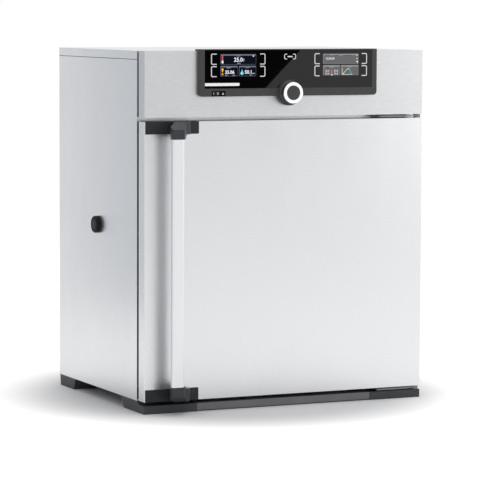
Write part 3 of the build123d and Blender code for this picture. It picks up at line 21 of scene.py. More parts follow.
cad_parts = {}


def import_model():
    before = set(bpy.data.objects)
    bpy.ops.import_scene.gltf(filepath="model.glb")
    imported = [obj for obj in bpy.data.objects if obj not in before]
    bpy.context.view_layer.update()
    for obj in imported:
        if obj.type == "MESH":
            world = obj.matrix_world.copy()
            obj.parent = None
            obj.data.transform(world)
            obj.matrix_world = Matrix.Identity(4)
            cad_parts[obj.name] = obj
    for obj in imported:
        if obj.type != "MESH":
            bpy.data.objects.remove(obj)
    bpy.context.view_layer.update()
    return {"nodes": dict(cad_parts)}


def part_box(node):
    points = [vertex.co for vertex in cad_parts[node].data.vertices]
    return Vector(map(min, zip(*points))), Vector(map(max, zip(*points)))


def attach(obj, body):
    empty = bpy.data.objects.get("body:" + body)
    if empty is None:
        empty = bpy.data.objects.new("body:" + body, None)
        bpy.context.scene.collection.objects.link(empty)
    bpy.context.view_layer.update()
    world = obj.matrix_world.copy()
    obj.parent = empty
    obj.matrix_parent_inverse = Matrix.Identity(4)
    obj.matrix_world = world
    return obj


LOG = logging.getLogger("climate_chamber")
FRONT_PLANE = -296.0
METRE = 1000.0
FULL_TURN = 2 * math.pi
BANDS_PER_UNIT = FULL_TURN / 10 / math.sqrt(3)

Span = tuple[float, float]
Point = tuple[float, float]
Rgba = tuple[float, float, float, float]


def linear(hex_code: str) -> Rgba:
    """Turns an sRGB hex colour into the linear values that a shader takes.

    Args:
        hex_code: six hex digits after a hash.

    Returns:
        Red, green, blue and a full alpha.
    """
    digits = hex_code.lstrip("#")
    channels = []
    for start in (0, 2, 4):
        value = int(digits[start:start + 2], 16) / 255
        channels.append(value / 12.92 if value <= 0.04045 else ((value + 0.055) / 1.055) ** 2.4)
    return (channels[0], channels[1], channels[2], 1.0)


def per_metre(size: float) -> float:
    """Gives the texture scale at which one feature of a pattern is this many millimetres."""
    return METRE / size


def add_node(tree: bpy.types.NodeTree, kind: str, inputs: dict | None = None, **settings) -> bpy.types.Node:
    """Adds one node with its settings and links.

    Args:
        tree: the node tree that gets it.
        kind: Blender's class name for the node.
        inputs: values or output sockets by input name or index.
        settings: the node's own properties.

    Returns:
        The new node.
    """
    node = tree.nodes.new(kind)
    for name, value in settings.items():
        setattr(node, name, value)
    for key, value in (inputs or {}).items():
        if isinstance(value, bpy.types.NodeSocket):
            tree.links.new(value, node.inputs[key])
        else:
            node.inputs[key].default_value = value
    return node


class Axis(Enum):
    """Way in which a grain or brush line runs."""

    ACROSS = (1.0, 0.0, 0.0)
    DEEP = (0.0, 1.0, 0.0)
    UPRIGHT = (0.0, 0.0, 1.0)


@dataclass(frozen=True)
class Finish:
    """A surface as it was made. Each kind draws its own pattern."""

    name: str

    def build(self) -> bpy.types.Material:
        """Makes the Blender material of this finish."""
        material = bpy.data.materials.new(self.name)
        material.use_nodes = True
        tree = material.node_tree
        tree.nodes.clear()
        shader = self.shade(tree)
        add_node(tree, "ShaderNodeOutputMaterial", {"Surface": shader.outputs[0]})
        return material

    def shade(self, tree: bpy.types.NodeTree) -> bpy.types.Node:
        """Draws the finish and returns the shader node that ends it."""
        raise NotImplementedError

    @staticmethod
    def place(
        tree: bpy.types.NodeTree,
        stretch: tuple[float, float, float] = (1, 1, 1),
    ) -> bpy.types.NodeSocket:
        """Gives positions on the piece, in metres, stretched along the axes.

        Args:
            tree: the node tree.
            stretch: factor on each axis.

        Returns:
            The socket that carries the positions.
        """
        source = add_node(tree, "ShaderNodeTexCoord")
        mapped = add_node(tree, "ShaderNodeMapping", {"Vector": source.outputs["Object"], "Scale": stretch})
        return mapped.outputs["Vector"]

    @staticmethod
    def tint(
        tree: bpy.types.NodeTree,
        factor: bpy.types.NodeSocket,
        dark: str,
        light: str,
    ) -> bpy.types.NodeSocket:
        """Blends two colours by a pattern.

        Args:
            tree: the node tree.
            factor: pattern value, 0 to 1.
            dark: sRGB colour where the pattern is 0.
            light: sRGB colour where the pattern is 1.

        Returns:
            The socket that carries the colour.
        """
        mix = add_node(
            tree,
            "ShaderNodeMix",
            {"Factor": factor, "A": linear(dark), "B": linear(light)},
            data_type="RGBA",
        )
        return mix.outputs["Result"]

    @staticmethod
    def span(
        tree: bpy.types.NodeTree,
        value: bpy.types.NodeSocket,
        low: float,
        high: float,
    ) -> bpy.types.NodeSocket:
        """Maps a 0 to 1 pattern to a range.

        Args:
            tree: the node tree.
            value: the pattern.
            low: result at 0.
            high: result at 1.

        Returns:
            The socket that carries the result.
        """
        node = add_node(tree, "ShaderNodeMapRange", {"Value": value, "To Min": low, "To Max": high})
        return node.outputs["Result"]


@dataclass(frozen=True)
class LinenSteel(Finish):
    """Stainless sheet rolled between linen-patterned rolls: fine crossing threads that break reflections.

    The real thread pitch of about 1.2 mm is too fine to show, so it is drawn near 5 mm.
    """

    dark: str = "#C0C2C5"
    light: str = "#DFE0E1"
    thread: float = 5.2
    speck: float = 3.4
    roughness: float = 0.31
    relief: float = 0.16

    def shade(self, tree: bpy.types.NodeTree) -> bpy.types.Node:
        """Crosses two diagonal thread patterns and breaks them up with specks."""
        threads = []
        for lean in (1.0, -1.0):
            place = self.place(tree, (1.0, 1.0, lean))
            wave = add_node(
                tree,
                "ShaderNodeTexWave",
                {"Vector": place, "Scale": per_metre(self.thread) * BANDS_PER_UNIT, "Distortion": 1.2,
                 "Detail": 1.0, "Detail Scale": 2.0},
                bands_direction="DIAGONAL",
            )
            threads.append(wave.outputs["Fac"])
        weave = add_node(tree, "ShaderNodeMath", {0: threads[0], 1: threads[1]}, operation="MULTIPLY")
        specks = add_node(
            tree,
            "ShaderNodeTexNoise",
            {"Vector": self.place(tree), "Scale": per_metre(self.speck), "Detail": 2.0, "Roughness": 0.7},
        )
        sheen = add_node(
            tree,
            "ShaderNodeTexNoise",
            {"Vector": self.place(tree, (1.0, 1.0, 0.4)), "Scale": per_metre(60.0), "Detail": 2.0},
        )
        grit = add_node(
            tree,
            "ShaderNodeMath",
            {0: specks.outputs["Fac"], 1: 0.72, 2: 0.12},
            operation="MULTIPLY_ADD",
        )
        pattern = add_node(
            tree,
            "ShaderNodeMath",
            {0: weave.outputs[0], 1: 0.30, 2: grit.outputs[0]},
            operation="MULTIPLY_ADD",
        )
        colour = self.tint(tree, pattern.outputs[0], self.dark, self.light)
        bump = add_node(
            tree,
            "ShaderNodeBump",
            {"Height": pattern.outputs[0], "Strength": self.relief, "Distance": 0.0006},
        )
        return add_node(
            tree,
            "ShaderNodeBsdfPrincipled",
            {"Base Color": colour, "Metallic": 1.0,
             "Roughness": self.span(tree, sheen.outputs["Fac"], self.roughness - 0.05, self.roughness + 0.05),
             "Normal": bump.outputs["Normal"]},
        )


@dataclass(frozen=True)
class BrushedMetal(Finish):
    """Metal drawn past abrasive: long hairlines that stretch reflections across the grain."""

    dark: str
    light: str
    grain: Axis = Axis.ACROSS
    roughness: float = 0.32
    line: float = 1.6
    relief: float = 0.06
    stretch: float = 0.02

    def shade(self, tree: bpy.types.NodeTree) -> bpy.types.Node:
        """Stretches a noise along the grain."""
        stretch = tuple(self.stretch if part else 1.0 for part in self.grain.value)
        lines = add_node(
            tree,
            "ShaderNodeTexNoise",
            {"Vector": self.place(tree, stretch), "Scale": per_metre(self.line), "Detail": 3.0,
             "Roughness": 0.65},
        )
        cloud = add_node(
            tree,
            "ShaderNodeTexNoise",
            {"Vector": self.place(tree), "Scale": per_metre(45.0), "Detail": 2.0},
        )
        bump = add_node(
            tree,
            "ShaderNodeBump",
            {"Height": lines.outputs["Fac"], "Strength": self.relief, "Distance": 0.0004},
        )
        return add_node(
            tree,
            "ShaderNodeBsdfPrincipled",
            {"Base Color": self.tint(tree, lines.outputs["Fac"], self.dark, self.light), "Metallic": 1.0,
             "Roughness": self.span(tree, cloud.outputs["Fac"], self.roughness - 0.04, self.roughness + 0.06),
             "Normal": bump.outputs["Normal"]},
        )


@dataclass(frozen=True)
class SatinMetal(Finish):
    """Blasted and anodised or turned metal: an even, soft shine without lines."""

    dark: str
    light: str
    roughness: float = 0.38
    grit: float = 1.2

    def shade(self, tree: bpy.types.NodeTree) -> bpy.types.Node:
        """Gives the surface a fine even grit."""
        grit = add_node(
            tree,
            "ShaderNodeTexNoise",
            {"Vector": self.place(tree), "Scale": per_metre(self.grit), "Detail": 2.0},
        )
        bump = add_node(
            tree,
            "ShaderNodeBump",
            {"Height": grit.outputs["Fac"], "Strength": 0.08, "Distance": 0.0002},
        )
        return add_node(
            tree,
            "ShaderNodeBsdfPrincipled",
            {"Base Color": self.tint(tree, grit.outputs["Fac"], self.dark, self.light), "Metallic": 1.0,
             "Roughness": self.span(tree, grit.outputs["Fac"], self.roughness - 0.04, self.roughness + 0.04),
             "Normal": bump.outputs["Normal"]},
        )


@dataclass(frozen=True)
class ZincSheet(Finish):
    """Hot-dip galvanised sheet: flat crystals of slightly different greys."""

    dark: str = "#9BA0A3"
    light: str = "#BFC3C5"
    crystal: float = 11.0

    def shade(self, tree: bpy.types.NodeTree) -> bpy.types.Node:
        """Gives each crystal its own grey and gloss."""
        cells = add_node(
            tree,
            "ShaderNodeTexVoronoi",
            {"Vector": self.place(tree), "Scale": per_metre(self.crystal), "Randomness": 1.0},
        )
        grey = add_node(tree, "ShaderNodeRGBToBW", {"Color": cells.outputs["Color"]})
        return add_node(
            tree,
            "ShaderNodeBsdfPrincipled",
            {"Base Color": self.tint(tree, grey.outputs[0], self.dark, self.light), "Metallic": 0.9,
             "Roughness": self.span(tree, grey.outputs[0], 0.36, 0.52)},
        )


@dataclass(frozen=True)
class Coating(Finish):
    """Powder coat or satin paint on metal: a faint orange peel with a soft shine."""

    dark: str
    light: str
    roughness: float = 0.42
    peel: float = 1.6
    relief: float = 0.12

    def shade(self, tree: bpy.types.NodeTree) -> bpy.types.Node:
        """Raises the orange peel and varies the colour a little."""
        peel = add_node(
            tree,
            "ShaderNodeTexNoise",
            {"Vector": self.place(tree), "Scale": per_metre(self.peel), "Detail": 1.0},
        )
        cloud = add_node(
            tree,
            "ShaderNodeTexNoise",
            {"Vector": self.place(tree), "Scale": per_metre(40.0), "Detail": 2.0},
        )
        bump = add_node(
            tree,
            "ShaderNodeBump",
            {"Height": peel.outputs["Fac"], "Strength": self.relief, "Distance": 0.0003},
        )
        return add_node(
            tree,
            "ShaderNodeBsdfPrincipled",
            {"Base Color": self.tint(tree, cloud.outputs["Fac"], self.dark, self.light),
             "Roughness": self.span(tree, peel.outputs["Fac"], self.roughness - 0.05, self.roughness + 0.05),
             "Normal": bump.outputs["Normal"]},
        )


@dataclass(frozen=True)
class MouldedPlastic(Finish):
    """Injection-moulded ABS or glass-filled nylon with a spark-eroded grain from the tool."""

    dark: str
    light: str
    roughness: float = 0.46
    grain: float = 0.9
    relief: float = 0.22
    gloss: float = 0.22

    def shade(self, tree: bpy.types.NodeTree) -> bpy.types.Node:
        """Raises a pebbled grain and clouds the colour a little."""
        pebbles = add_node(
            tree,
            "ShaderNodeTexVoronoi",
            {"Vector": self.place(tree), "Scale": per_metre(self.grain), "Randomness": 1.0},
            feature="SMOOTH_F1",
        )
        cloud = add_node(
            tree,
            "ShaderNodeTexNoise",
            {"Vector": self.place(tree), "Scale": per_metre(14.0), "Detail": 3.0},
        )
        bump = add_node(
            tree,
            "ShaderNodeBump",
            {"Height": pebbles.outputs["Distance"], "Strength": self.relief, "Distance": 0.0001},
        )
        return add_node(
            tree,
            "ShaderNodeBsdfPrincipled",
            {"Base Color": self.tint(tree, cloud.outputs["Fac"], self.dark, self.light),
             "Specular IOR Level": self.gloss,
             "Roughness": self.span(tree, cloud.outputs["Fac"], self.roughness - 0.05, self.roughness + 0.05),
             "Normal": bump.outputs["Normal"]},
        )


@dataclass(frozen=True)
class SoftRubber(Finish):
    """Moulded elastomer: dull, with bloom and dust in faint clouds."""

    dark: str
    light: str
    roughness: float = 0.62

    def shade(self, tree: bpy.types.NodeTree) -> bpy.types.Node:
        """Clouds the surface and gives it a fine skin."""
        cloud = add_node(
            tree,
            "ShaderNodeTexNoise",
            {"Vector": self.place(tree), "Scale": per_metre(9.0), "Detail": 4.0, "Roughness": 0.6},
        )
        skin = add_node(
            tree,
            "ShaderNodeTexNoise",
            {"Vector": self.place(tree), "Scale": per_metre(0.8), "Detail": 1.0},
        )
        bump = add_node(
            tree,
            "ShaderNodeBump",
            {"Height": skin.outputs["Fac"], "Strength": 0.15, "Distance": 0.0002},
        )
        return add_node(
            tree,
            "ShaderNodeBsdfPrincipled",
            {"Base Color": self.tint(tree, cloud.outputs["Fac"], self.dark, self.light),
             "Specular IOR Level": 0.2,
             "Roughness": self.span(tree, cloud.outputs["Fac"], self.roughness - 0.06, self.roughness + 0.06),
             "Normal": bump.outputs["Normal"]},
        )


@dataclass(frozen=True)
class PrintedGlass(Finish):
    """Float glass printed black on its back: a deep gloss with a trace of wiping marks."""

    dark: str = "#060505"
    light: str = "#0B0908"
    roughness: float = 0.012
    gloss: float = 0.38

    def shade(self, tree: bpy.types.NodeTree) -> bpy.types.Node:
        """Varies the gloss with wiping marks."""
        wipe = add_node(
            tree,
            "ShaderNodeTexNoise",
            {"Vector": self.place(tree, (0.3, 1.0, 1.0)), "Scale": per_metre(25.0), "Detail": 4.0},
        )
        return add_node(
            tree,
            "ShaderNodeBsdfPrincipled",
            {"Base Color": self.tint(tree, wipe.outputs["Fac"], self.dark, self.light),
             "Specular IOR Level": self.gloss,
             "Roughness": self.span(tree, wipe.outputs["Fac"], self.roughness - 0.01, self.roughness + 0.01)},
        )


@dataclass(frozen=True)
class ClearGlass(Finish):
    """Toughened soda-lime glass: clear, faintly green, with a trace of wiping marks."""

    tone: str = "#F1FAF6"

    def shade(self, tree: bpy.types.NodeTree) -> bpy.types.Node:
        """Lets light through and varies the gloss a little."""
        wipe = add_node(
            tree,
            "ShaderNodeTexNoise",
            {"Vector": self.place(tree, (1.0, 1.0, 0.3)), "Scale": per_metre(60.0), "Detail": 3.0},
        )
        return add_node(
            tree,
            "ShaderNodeBsdfPrincipled",
            {"Base Color": self.tint(tree, wipe.outputs["Fac"], self.tone, "#FFFFFF"), "IOR": 1.52,
             "Transmission Weight": 1.0,
             "Roughness": self.span(tree, wipe.outputs["Fac"], 0.0, 0.03)},
        )


@dataclass(frozen=True)
class PressedWool(Finish):
    """Mineral wool batt: matted fibres in warm greys."""

    dark: str = "#A89B78"
    light: str = "#D3C8A6"

    def shade(self, tree: bpy.types.NodeTree) -> bpy.types.Node:
        """Mats fibres with one stretched noise."""
        fibres = add_node(
            tree,
            "ShaderNodeTexNoise",
            {"Vector": self.place(tree, (1.0, 0.25, 1.0)), "Scale": per_metre(2.5), "Detail": 6.0,
             "Distortion": 1.5},
        )
        bump = add_node(
            tree,
            "ShaderNodeBump",
            {"Height": fibres.outputs["Fac"], "Strength": 0.6, "Distance": 0.002},
        )
        return add_node(
            tree,
            "ShaderNodeBsdfPrincipled",
            {"Base Color": self.tint(tree, fibres.outputs["Fac"], self.dark, self.light), "Roughness": 0.95,
             "Normal": bump.outputs["Normal"]},
        )


@dataclass(frozen=True)
class PrintedInk(Finish):
    """Screen-printed ink on glass or plastic, with a faint unevenness in the film."""

    tone: str
    shade_tone: str
    roughness: float = 0.35

    def shade(self, tree: bpy.types.NodeTree) -> bpy.types.Node:
        """Gives the ink film its unevenness."""
        film = add_node(
            tree,
            "ShaderNodeTexNoise",
            {"Vector": self.place(tree), "Scale": per_metre(3.0), "Detail": 2.0},
        )
        return add_node(
            tree,
            "ShaderNodeBsdfPrincipled",
            {"Base Color": self.tint(tree, film.outputs["Fac"], self.shade_tone, self.tone),
             "Roughness": self.span(tree, film.outputs["Fac"], self.roughness, self.roughness + 0.1)},
        )


@dataclass(frozen=True)
class LitPixels(Finish):
    """A field of a colour screen, seen through its cover glass. It glows in one even tone."""

    tone: str
    strength: float = 1.0
    pixel: float = 0.35
    gloss: float = 0.015

    def shade(self, tree: bpy.types.NodeTree) -> bpy.types.Node:
        """Makes the field glow evenly; the pixel pattern mixes the tone with itself and leaves no mark."""
        dots = add_node(
            tree,
            "ShaderNodeTexVoronoi",
            {"Vector": self.place(tree), "Scale": per_metre(self.pixel), "Randomness": 0.0},
        )
        glow = self.tint(tree, dots.outputs["Distance"], self.tone, self.tone)
        return add_node(
            tree,
            "ShaderNodeBsdfPrincipled",
            {"Base Color": linear("#020203"), "Roughness": self.gloss, "Emission Color": glow,
             "Emission Strength": self.strength},
        )


class FinishShelf:
    """Builds each finish once and hands out its material."""

    def __init__(self) -> None:
        """Starts with no material made."""
        self.made: dict[Finish, bpy.types.Material] = {}

    def material(self, finish: Finish) -> bpy.types.Material:
        """Gives the material of a finish.

        Args:
            finish: the finish wanted.

        Returns:
            Its Blender material.
        """
        if finish not in self.made:
            self.made[finish] = finish.build()
        return self.made[finish]


LINEN_STEEL = LinenSteel("linen_textured_stainless")
FASCIA_STEEL = BrushedMetal("brushed_stainless", "#B9BBBD", "#CFD0D1", Axis.ACROSS, 0.36, 2.6, 0.05, 0.12)
LINER_STEEL = BrushedMetal("bright_annealed_stainless", "#C4C6C9", "#DBDCDD", Axis.UPRIGHT, 0.24, 3.0, 0.03)
HINGE_STEEL = BrushedMetal("ground_stainless", "#BDBFC1", "#DADBDC", Axis.ACROSS, 0.30, 0.8, 0.06)
# The hinge plates are stainless steel; their dark grey is painted shade for the shaded gap between fascia and door
# where they sit.
SHADE_DARK_HINGE_PLATE = BrushedMetal("hinge_steel_painted_shade", "#55585B", "#85888B", Axis.ACROSS, 0.34, 0.8, 0.06)
TURNED_STEEL = SatinMetal("turned_stainless", "#B5B7B9", "#CFD0D2", 0.28)
WIRE_STEEL = SatinMetal("electropolished_wire", "#C9CBCD", "#E2E3E4", 0.18)
BAR_METAL = SatinMetal("satin_anodised_aluminium", "#D3D4D6", "#DDDEE0", 0.42)
RING_METAL = SatinMetal("bright_turned_aluminium", "#F6F6F7", "#FFFFFF", 0.30)
SINK_METAL = BrushedMetal("extruded_aluminium", "#B9BABC", "#D2D3D4", Axis.UPRIGHT, 0.40, 1.4, 0.08)
CASE_METAL = SatinMetal("folded_aluminium_case", "#A9ABAD", "#C0C2C3", 0.40)
ZINC_SHEET = ZincSheet("galvanised_sheet")
REAR_COAT = Coating("grey_powder_coat", "#A9ACAE", "#B7BABC")
CROSSBAR_PAINT = Coating("grey_satin_paint", "#605F63", "#6E6D71", 0.45)
PANEL_PLASTIC = MouldedPlastic("grained_grey_abs", "#3B3B3C", "#464647")
BRACKET_PLASTIC = MouldedPlastic("glass_filled_nylon", "#242526", "#303031", 0.42)
HANDLE_PLASTIC = MouldedPlastic("blue_grey_nylon", "#333439", "#3E4045", 0.38)
FOOT_PLASTIC = MouldedPlastic("foot_polypropylene", "#3A3B3F", "#46484C", 0.50)
KNOB_PLASTIC = MouldedPlastic("grained_knob_abs", "#3A3A3B", "#474748", 0.36)
BLACK_PLASTIC = MouldedPlastic("black_abs", "#141415", "#1D1D1E", 0.40)
SWITCH_PLASTIC = MouldedPlastic("black_switch_nylon", "#060607", "#0B0B0C", 0.40, 0.5, 0.12, 0.1)
FAN_PLASTIC = MouldedPlastic("fan_polyester", "#151617", "#202122", 0.45)
BUSH_PLASTIC = MouldedPlastic("natural_acetal", "#D5D3CB", "#E2E0D8", 0.35)
SEAL_RUBBER = SoftRubber("black_epdm", "#0E0E0F", "#1A1A1B")
PLUG_RUBBER = SoftRubber("black_silicone_plug", "#040405", "#0D0D0E", 0.50)
SILICONE = SoftRubber("grey_silicone", "#8E9092", "#A5A7A9", 0.50)
COCKPIT_GLASS = PrintedGlass("black_printed_glass")
WINDOW_GLASS = ClearGlass("clear_toughened_glass")
WOOL = PressedWool("mineral_wool")
BOARD = Coating("green_solder_mask", "#0E4A26", "#14582F", 0.30, 2.0, 0.2)
CERAMIC = Coating("white_alumina", "#DDDCD6", "#EBEAE5", 0.40, 0.8, 0.05)
SCREEN_BACK = Coating("screen_module_black", "#101216", "#16191E", 0.22, 1.0, 0.02)

NODE_FINISHES: dict[str, Finish] = {
    "side_panel_left": LINEN_STEEL,
    "side_panel_right": LINEN_STEEL,
    "roof_cover": LINEN_STEEL,
    "door_shell": LINEN_STEEL,
    "control_fascia": FASCIA_STEEL,
    "front_frame": LINER_STEEL,
    "chamber_liner": LINER_STEEL,
    "door_inner_panel": LINER_STEEL,
    "air_baffle": LINER_STEEL,
    "steam_generator": LINER_STEEL,
    "entry_tube": LINER_STEEL,
    "rear_panel": ZINC_SHEET,
    "floor_pan": ZINC_SHEET,
    "rear_unit_cover": REAR_COAT,
    "cabinet_insulation": WOOL,
    "door_insulation": WOOL,
    "chamber_fan_motor": CASE_METAL,
    "chamber_fan_rotor": SINK_METAL,
    "cold_sink": SINK_METAL,
    "hot_sink": SINK_METAL,
    "peltier_modules": CERAMIC,
    "rear_fan_frames": FAN_PLASTIC,
    "rear_fan_rotor_left": FAN_PLASTIC,
    "rear_fan_rotor_right": FAN_PLASTIC,
    "climate_sensors": TURNED_STEEL,
    "control_board": BOARD,
    "power_supply": CASE_METAL,
    "display_modules": SCREEN_BACK,
    "cockpit_glass": COCKPIT_GLASS,
    "cockpit_bezel": PANEL_PLASTIC,
    "encoder_housing": BLACK_PLASTIC,
    "switch_housing": SWITCH_PLASTIC,
    "mains_rocker": SWITCH_PLASTIC,
    "port_flap": SWITCH_PLASTIC,
    "glass_gasket": SILICONE,
    "glass_hinge_brackets": HINGE_STEEL,
    "glass_hinge_straps": HINGE_STEEL,
    "glass_grip": HINGE_STEEL,
    "glass_pane": WINDOW_GLASS,
    "door_hinges": SHADE_DARK_HINGE_PLATE,
    "latch_keepers": HINGE_STEEL,
    "latch_shafts": TURNED_STEEL,
    "feet": FOOT_PLASTIC,
    "front_crossbar": CROSSBAR_PAINT,
    "mains_inlet": BLACK_PLASTIC,
    "network_socket": CASE_METAL,
    "water_connectors": TURNED_STEEL,
    "door_gasket": SEAL_RUBBER,
    "handle_brackets": BRACKET_PLASTIC,
    "door_hinge_bushes": BUSH_PLASTIC,
    "handle_bar": BAR_METAL,
    "handle_cap_top": HANDLE_PLASTIC,
    "handle_cap_bottom": HANDLE_PLASTIC,
    "shelf_lower": WIRE_STEEL,
    "shelf_upper": WIRE_STEEL,
    "knob_plunger": TURNED_STEEL,
    "knob_body": KNOB_PLASTIC,
    "knob_ring": RING_METAL,
    "entry_plug": PLUG_RUBBER,
}


class ThinRelief:
    """Collects thin closed plates that lie on an upright face seen from the front, as one mesh.

    Plates are drawn in x and z, in millimetres, and stand a film's thickness proud of the face.
    """

    def __init__(self, name: str, face: float, shelf: FinishShelf, film: float = 0.12) -> None:
        """Starts an empty relief.

        Args:
            name: name of the piece.
            face: y of the face that carries it.
            shelf: where its materials come from.
            film: thickness of the plates.
        """
        self.name = name
        self.face = face
        self.shelf = shelf
        self.film = film
        self.mesh = bmesh.new()
        self.finishes: list[Finish] = []

    def slot_of(self, finish: Finish) -> int:
        """Gives the material slot of a finish, a new one if need be."""
        if finish not in self.finishes:
            self.finishes.append(finish)
        return self.finishes.index(finish)

    def prism(self, outline: list[Point], finish: Finish, layer: int = 0) -> None:
        """Adds one plate from its outline.

        Args:
            outline: (x, z) corners in order, without a repeat at the end.
            finish: its finish.
            layer: how many films lie under it.
        """
        back = (self.face - layer * self.film) / METRE
        front = back - self.film / METRE
        rings = []
        for depth in (back, front):
            rings.append([self.mesh.verts.new((x / METRE, depth, z / METRE)) for x, z in outline])
        slot = self.slot_of(finish)
        count = len(outline)
        faces = [self.mesh.faces.new(rings[0]), self.mesh.faces.new(list(reversed(rings[1])))]
        for i in range(count):
            j = (i + 1) % count
            faces.append(self.mesh.faces.new((rings[0][j], rings[0][i], rings[1][i], rings[1][j])))
        for made in faces:
            made.material_index = slot

    def tile(self, across: Span, up: Span, finish: Finish, corner: float = 0.0, layer: int = 0) -> None:
        """Adds a rectangle, its corners rounded.

        Args:
            across: low and high x.
            up: low and high z.
            finish: its finish.
            corner: corner radius.
            layer: how many films lie under it.
        """
        if corner <= 0:
            outline = [(across[0], up[0]), (across[1], up[0]), (across[1], up[1]), (across[0], up[1])]
            self.prism(outline, finish, layer)
            return
        outline = []
        steps = 5
        centres = [
            (across[1] - corner, up[0] + corner, -90),
            (across[1] - corner, up[1] - corner, 0),
            (across[0] + corner, up[1] - corner, 90),
            (across[0] + corner, up[0] + corner, 180),
        ]
        for x, z, start in centres:
            for step in range(steps + 1):
                angle = math.radians(start + 90 * step / steps)
                outline.append((x + corner * math.cos(angle), z + corner * math.sin(angle)))
        self.prism(outline, finish, layer)

    def disc(self, centre: Point, radius: float, finish: Finish, layer: int = 0) -> None:
        """Adds a round plate about a centre."""
        steps = 24
        outline = []
        for step in range(steps):
            angle = FULL_TURN * step / steps
            outline.append((centre[0] + radius * math.cos(angle), centre[1] + radius * math.sin(angle)))
        self.prism(outline, finish, layer)

    def stroke(
        self,
        path: list[Point],
        width: float,
        finish: Finish,
        layer: int = 0,
        closed: bool = False,
    ) -> None:
        """Adds a line of even width with mitred corners.

        Args:
            path: (x, z) points along its middle.
            width: its width.
            finish: its finish.
            layer: how many films lie under it.
            closed: whether its end joins its start.
        """
        count = len(path)
        sides: list[tuple[Point, Point]] = []
        for i, point in enumerate(path):
            before = path[i - 1] if i or closed else point
            after = path[(i + 1) % count] if i < count - 1 or closed else point
            into = Vector((point[0] - before[0], point[1] - before[1]))
            out = Vector((after[0] - point[0], after[1] - point[1]))
            into = into.normalized() if into.length else out.normalized()
            out = out.normalized() if out.length else into
            normal = Vector((-(into.y + out.y), into.x + out.x))
            normal.normalize()
            spread = width / 2 / max(0.35, normal.dot(Vector((-into.y, into.x))))
            sides.append((
                (point[0] + normal.x * spread, point[1] + normal.y * spread),
                (point[0] - normal.x * spread, point[1] - normal.y * spread),
            ))
        links = count if closed else count - 1
        for i in range(links):
            j = (i + 1) % count
            self.prism([sides[i][1], sides[j][1], sides[j][0], sides[i][0]], finish, layer)

    def digits(
        self,
        text: str,
        left: float,
        base: float,
        height: float,
        finish: Finish,
        layer: int = 0,
    ) -> None:
        """Adds numbers in a plain upright face.

        Args:
            text: digits, points and signs.
            left: x where they start.
            base: z of their base line.
            height: height of a digit.
            finish: their finish.
            layer: how many films lie under them.
        """
        curve = bpy.data.curves.new(self.name + "_digits", "FONT")
        curve.body = text
        curve.size = 1.0
        curve.extrude = 0.5
        curve.resolution_u = 3
        curve.offset = 0.025
        holder = bpy.data.objects.new(curve.name, curve)
        bpy.context.scene.collection.objects.link(holder)
        bpy.context.view_layer.update()
        solid = bpy.data.meshes.new_from_object(holder.evaluated_get(bpy.context.evaluated_depsgraph_get()))
        cap_height = 0.70
        scale = height / cap_height / METRE
        depth = self.film / METRE
        middle = (self.face - (layer + 0.5) * self.film) / METRE
        turn = Matrix((
            (scale, 0, 0, left / METRE),
            (0, 0, -depth, middle),
            (0, scale, 0, base / METRE),
            (0, 0, 0, 1),
        ))
        solid.transform(turn)
        first = len(self.mesh.faces)
        self.mesh.from_mesh(solid)
        self.mesh.faces.ensure_lookup_table()
        slot = self.slot_of(finish)
        for made in self.mesh.faces[first:]:
            made.material_index = slot
        bpy.data.objects.remove(holder)
        bpy.data.curves.remove(curve)
        bpy.data.meshes.remove(solid)

    def finish(self, body: str, record_slot: str) -> bpy.types.Object:
        """Turns what was collected into a piece that rides on a body.

        Args:
            body: body that carries it.
            record_slot: not used.

        Returns:
            The piece.
        """
        bmesh.ops.recalc_face_normals(self.mesh, faces=self.mesh.faces)
        data = bpy.data.meshes.new(self.name)
        self.mesh.to_mesh(data)
        self.mesh.free()
        for made in self.finishes:
            data.materials.append(self.shelf.material(made))
        piece = bpy.data.objects.new(self.name, data)
        bpy.context.scene.collection.objects.link(piece)
        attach(piece, body)
        LOG.info("piece %s rides on %s", self.name, body)
        return piece


@dataclass
class Cabinet:
    """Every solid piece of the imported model, dressed in its finish."""

    nodes: dict[str, bpy.types.Object]
    shelf: FinishShelf
    finishes: dict[str, Finish] = field(default_factory=lambda: dict(NODE_FINISHES))

    def dress(self) -> None:
        """Gives each node its material."""
        for name, node in self.nodes.items():
            finish = self.finishes[name]
            node.data.materials.clear()
            node.data.materials.append(self.shelf.material(finish))
            LOG.info("node %s is %s", name, finish.name)


